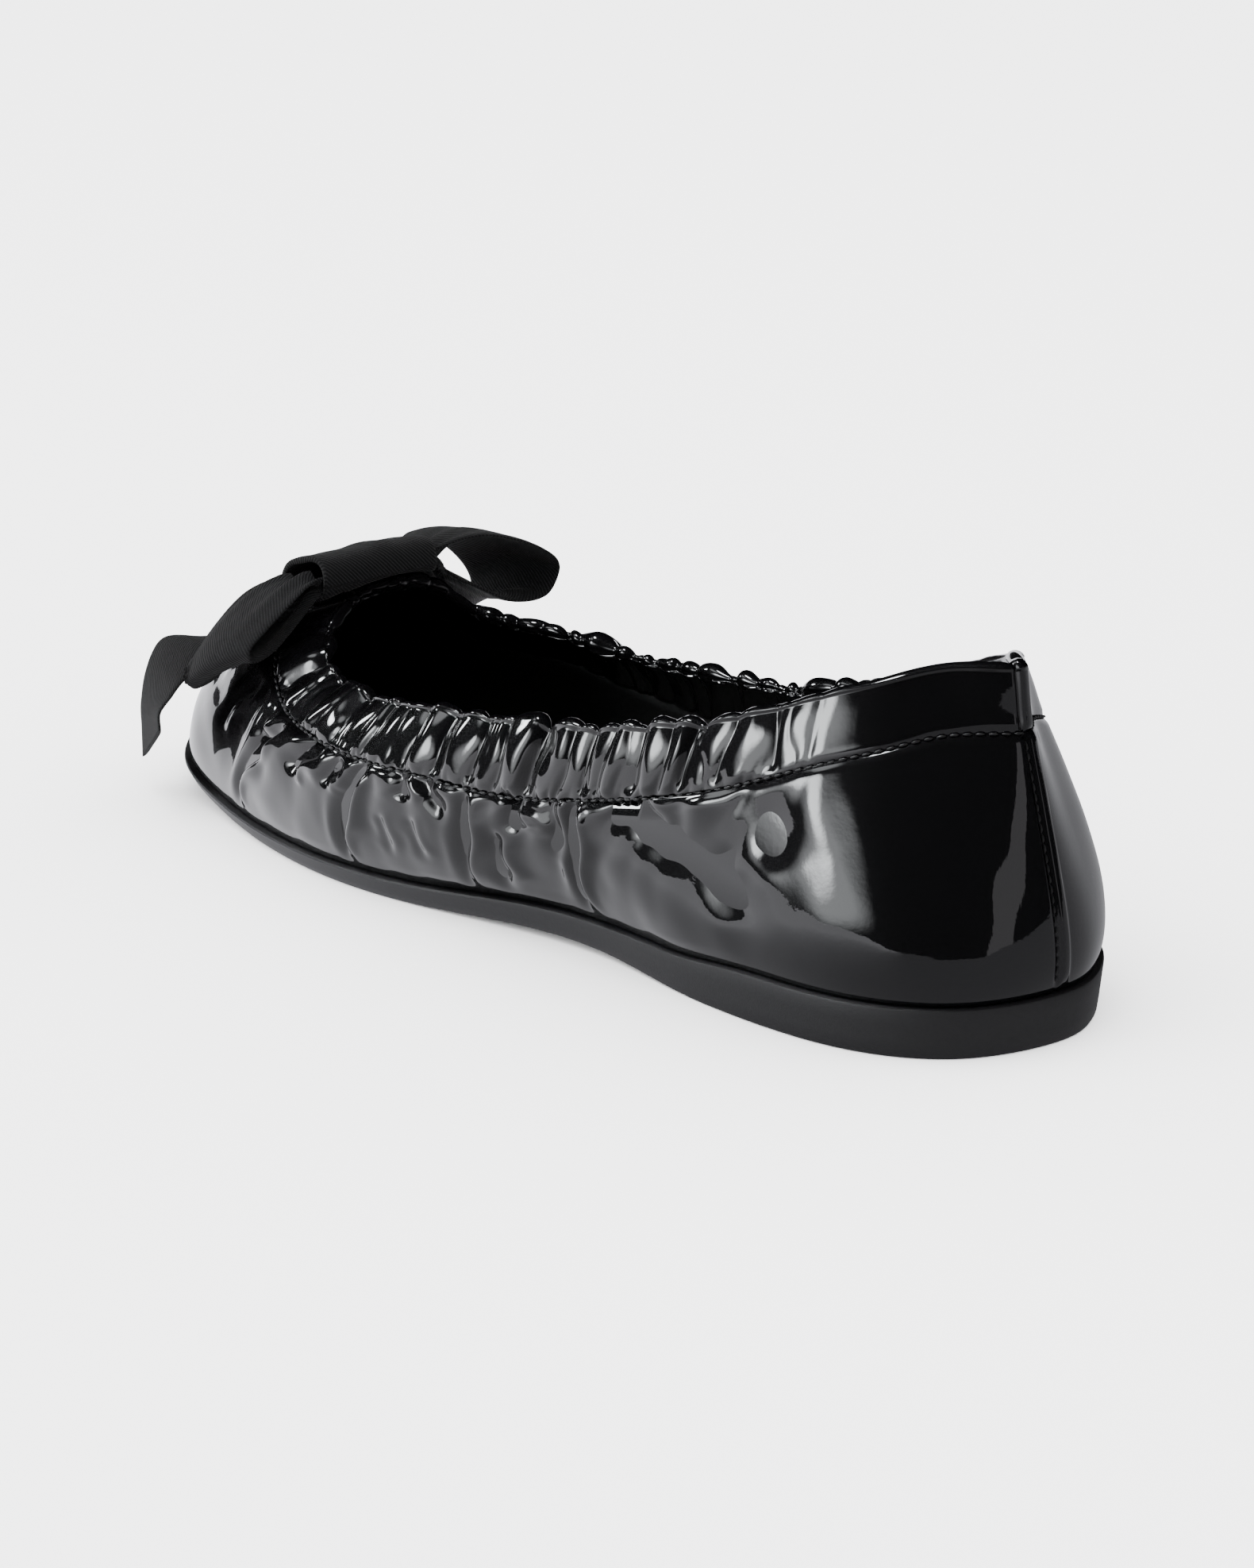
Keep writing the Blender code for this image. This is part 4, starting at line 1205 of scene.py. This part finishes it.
def build_knot(look, wall, height):
    """Ribbon band wrapped once around the bow's middle, its folds running with the wrap."""
    rear, front, ribbon_z = ribbon_seat(wall)
    middle = (rear + front) / 2
    deep = (front - rear) / 2 + KNOT_WRAP
    slope = math.tan(math.radians(LATERAL_LOOP[0].pitch))
    places = np.linspace(-KNOT_LENGTH / 2, KNOT_LENGTH / 2, KNOT_ROWS)
    outer = []
    for i, across in enumerate(places):
        share = 2 * i / (KNOT_ROWS - 1) - 1
        ring = []
        for k in range(KNOT_ROUNDS):
            angle = 2 * math.pi * k / KNOT_ROUNDS
            fore = -math.copysign(abs(math.cos(angle)) ** KNOT_SQUARE, math.cos(angle))
            rise = math.copysign(abs(math.sin(angle)) ** KNOT_ROUND, math.sin(angle))
            y = middle + deep * fore
            floor = height(across, y, KNOT_LENGTH * KNOT_REACH) + RIBBON_CLEAR
            waist = ribbon_z - (y - middle) * slope
            reach = KNOT_HEIGHT * (1 - KNOT_WAIST) if rise >= 0 else waist - floor
            fold = math.sin(share * 5.2 + 0.9 * math.sin(angle + 0.6)) * 0.5
            fold += math.sin(share * 11.0 - 0.7 * math.sin(angle * 2)) * 0.22
            puff = KNOT_FOLD * fold * max(rise, 0.0) - KNOT_EDGE_DROP * abs(share) ** 6
            ring.append((across, y, waist + (reach + puff) * rise))
        outer.append(ring)
    outer = np.array(outer)
    inward = outer.mean(axis=1, keepdims=True) - outer
    inward /= np.linalg.norm(inward, axis=2)[..., None]
    inner = outer + inward * KNOT_BAND
    rings = np.concatenate([outer, inner[::-1]])
    faces = ring_faces(len(rings), KNOT_ROUNDS, close_rows=True)
    made = piece("bow_knot_band", rings.reshape(-1, 3), faces, look)
    legs = np.linalg.norm(np.diff(outer[0], axis=0), axis=1)
    around = np.concatenate([[0.0], np.cumsum(legs)])
    across = np.concatenate([places, places[::-1]])
    lay_weave(made.data, np.repeat(across, KNOT_ROUNDS), np.tile(around, len(rings)))
    turn_outward(made.data)
    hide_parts("bow_knot")


def build_bow(look):
    wall = Wall(BOW_STEPS)
    height = height_under("upper", "collar_casing")
    build_knot(look, wall, height)
    rear, front, ribbon_z = ribbon_seat(wall)
    start = (KNOT_LENGTH / 2 + KNOT_SIDE_GAP, (rear + front) / 2, ribbon_z)
    for side, word, folds, reach in (
        (-1, "lateral", LATERAL_LOOP, LATERAL_LOOP_REACH),
        (1, "medial", MEDIAL_LOOP, MEDIAL_LOOP_REACH),
    ):
        tail = f"bow_tail_{word}"
        strip = strip_points(TAIL, side, TAIL_REACH, TAIL_DROP, start)
        name = f"ribbon_tail_{word}"
        build_ribbon(name, tail, look, strip, TAIL_CUT, height, 51 + side, False)
        over_tail = height_under("upper", "collar_casing", tail)
        strip = strip_points(folds, side, reach, LOOP_DROOP, start)
        name, loop = f"ribbon_loop_{word}", f"bow_loop_{word}"
        build_ribbon(name, loop, look, strip, 0.0, over_tail, 71 + side, True)


def emission(name, colour, strength):
    """A material that only shines, and its node tree."""
    made = bpy.data.materials.new(name)
    made.use_nodes = True
    tree = made.node_tree
    tree.nodes.remove(tree.nodes["Principled BSDF"])
    shader = tree.nodes.new("ShaderNodeEmission")
    set_inputs(shader, Color=(*colour, 1.0), Strength=strength)
    link(tree, shader, "Emission", tree.nodes["Material Output"], "Surface")
    return made, tree


def graded(tree, operation, against, places, strengths):
    """Makes the light change smoothly with a vector measure of the object's own coordinates."""
    place = tree.nodes.new("ShaderNodeTexCoord")
    measure = tree.nodes.new("ShaderNodeVectorMath")
    measure.operation = operation
    measure.inputs[1].default_value = against
    grade = tree.nodes.new("ShaderNodeMapRange")
    grade.interpolation_type = "SMOOTHSTEP"
    set_inputs(grade, From_Min=places[0], From_Max=places[1])
    set_inputs(grade, To_Min=strengths[0], To_Max=strengths[1])
    link(tree, place, "Object", measure, 0)
    link(tree, measure, "Value", grade, "Value")
    link(tree, grade, "Result", tree.nodes["Emission"], "Strength")


def soft_glow(name, strength):
    """Light of a softbox, fading from its middle to clear edges that hide nothing behind them."""
    look, tree = emission(name, SOFTBOX_WHITE, strength)
    graded(tree, "DISTANCE", (0.0, 0.0, 0.0), (0.20, 0.50), (strength, 0.0))
    clear = tree.nodes.new("ShaderNodeBsdfTransparent")
    both = tree.nodes.new("ShaderNodeAddShader")
    link(tree, clear, "BSDF", both, 0)
    link(tree, tree.nodes["Emission"], "Emission", both, 1)
    link(tree, both, "Shader", tree.nodes["Material Output"], "Surface")
    return look


def only_in_reflections(thing):
    thing.visible_camera = False
    thing.visible_diffuse = False
    thing.visible_shadow = False
    thing.visible_transmission = False
    thing.visible_volume_scatter = False


def square(name, half, look):
    """A flat square in its own XY plane."""
    mesh = bpy.data.meshes.new(name)
    corners = [(-half, -half, 0), (half, -half, 0), (half, half, 0), (-half, half, 0)]
    mesh.from_pydata(corners, [], [(0, 1, 2, 3)])
    mesh.materials.append(look)
    return placed(name, mesh)


def card(row, look):
    """A flat card that faces the shoe and shows in reflections only."""
    a, e = math.radians(row.azimuth), math.radians(row.elevation)
    away = Vector((math.sin(a) * math.cos(e), math.cos(a) * math.cos(e), math.sin(e)))
    made = square(row.name, 0.5, look)
    facing = away.to_track_quat("Z", "Y").to_matrix().to_4x4()
    centre = Vector((0.0, SHOE_MIDDLE, 0.03)) + away * row.distance
    spread = Matrix.Diagonal((row.wide, row.high, 1.0, 1.0))
    made.matrix_world = Matrix.Translation(centre) @ facing @ spread
    only_in_reflections(made)


def mirrored_floor():
    """The floor as the leather mirrors it, dim beside the heel and brighter to the front left."""
    look, tree = emission("floor_mirrored_look", (0.95, 0.95, 1.0), 1.0)
    graded(tree, "DOT_PRODUCT", (-0.45, 0.90, 0.0), (-0.02, 0.22), (FLOOR_DIM, FLOOR_LIT))
    made = square("floor_mirrored", 2, look)
    made.location.z = -0.0005
    only_in_reflections(made)


def build_studio():
    """Pale floor and world, a soft key light, and what the patent leather mirrors."""
    world = bpy.data.worlds.new("studio_world")
    bpy.context.scene.world = world
    world.use_nodes = True
    background = world.node_tree.nodes["Background"]
    set_inputs(background, Color=(0.95, 0.95, 0.955, 1.0), Strength=WORLD_STRENGTH)

    grey = (0.93, 0.93, 0.932)
    floor_look = material("studio_floor_look", grey, 0.9, Specular_IOR_Level=0.0)[0]
    floor = square("studio_floor", FLOOR_HALF, floor_look)
    floor.visible_glossy = False

    key = bpy.data.lights.new("key", "AREA")
    key.energy = KEY_WATTS
    key.size = KEY_SIZE
    lamp = placed("key", key)
    lamp.location = KEY_AT
    aim = Vector((0, SHOE_MIDDLE, 0.0)) - lamp.location
    lamp.rotation_euler = aim.to_track_quat("-Z", "Y").to_euler()
    lamp.visible_glossy = False

    bpy.ops.mesh.primitive_uv_sphere_add(segments=64, ring_count=32, radius=DOME_RADIUS)
    dome = bpy.context.object
    dome.name = "dark_room"
    dome.data.materials.append(emission("dark_room_look", (0.5, 0.5, 0.55), 0.02)[0])
    only_in_reflections(dome)

    mirrored_floor()
    for row in SOFTBOXES:
        card(row, soft_glow(row.name + "_look", row.strength))
    card(PANEL_REAR, emission("panel_look", (1.0, 0.98, 1.02), PANEL_REAR.strength)[0])


def build_camera():
    azimuth = math.radians(CAMERA_AZIMUTH)
    elevation = math.radians(CAMERA_ELEVATION)
    roll = math.radians(CAMERA_ROLL)
    back = Vector(
        (
            math.sin(azimuth) * math.cos(elevation),
            -math.cos(azimuth) * math.cos(elevation),
            math.sin(elevation),
        )
    )
    level = Vector((math.cos(azimuth), math.sin(azimuth), 0.0))
    upright = back.cross(level)
    right = level * math.cos(roll) + upright * math.sin(roll)
    up = upright * math.cos(roll) - level * math.sin(roll)
    turn = Matrix((right, up, back)).transposed().to_4x4()
    data = bpy.data.cameras.new("photo_camera")
    data.lens = CAMERA_LENS
    data.shift_x, data.shift_y = CAMERA_SHIFT
    data.sensor_fit = "AUTO"
    data.sensor_width = 36.0
    camera = placed("photo_camera", data)
    camera.matrix_world = Matrix.Translation(CAMERA_AT) @ turn
    bpy.context.scene.camera = camera


def main():
    patent = patent_look("patent_look", 0.000012)
    casing = patent_look("patent_casing_look", 0.000010)
    lining = lining_look()
    build_upper(patent, lining)
    build_casing(casing)
    build_stitches(thread_look())
    build_sole(rubber_look())
    build_sock(lining)
    build_bow(twill_look())
    build_studio()
    build_camera()


main()
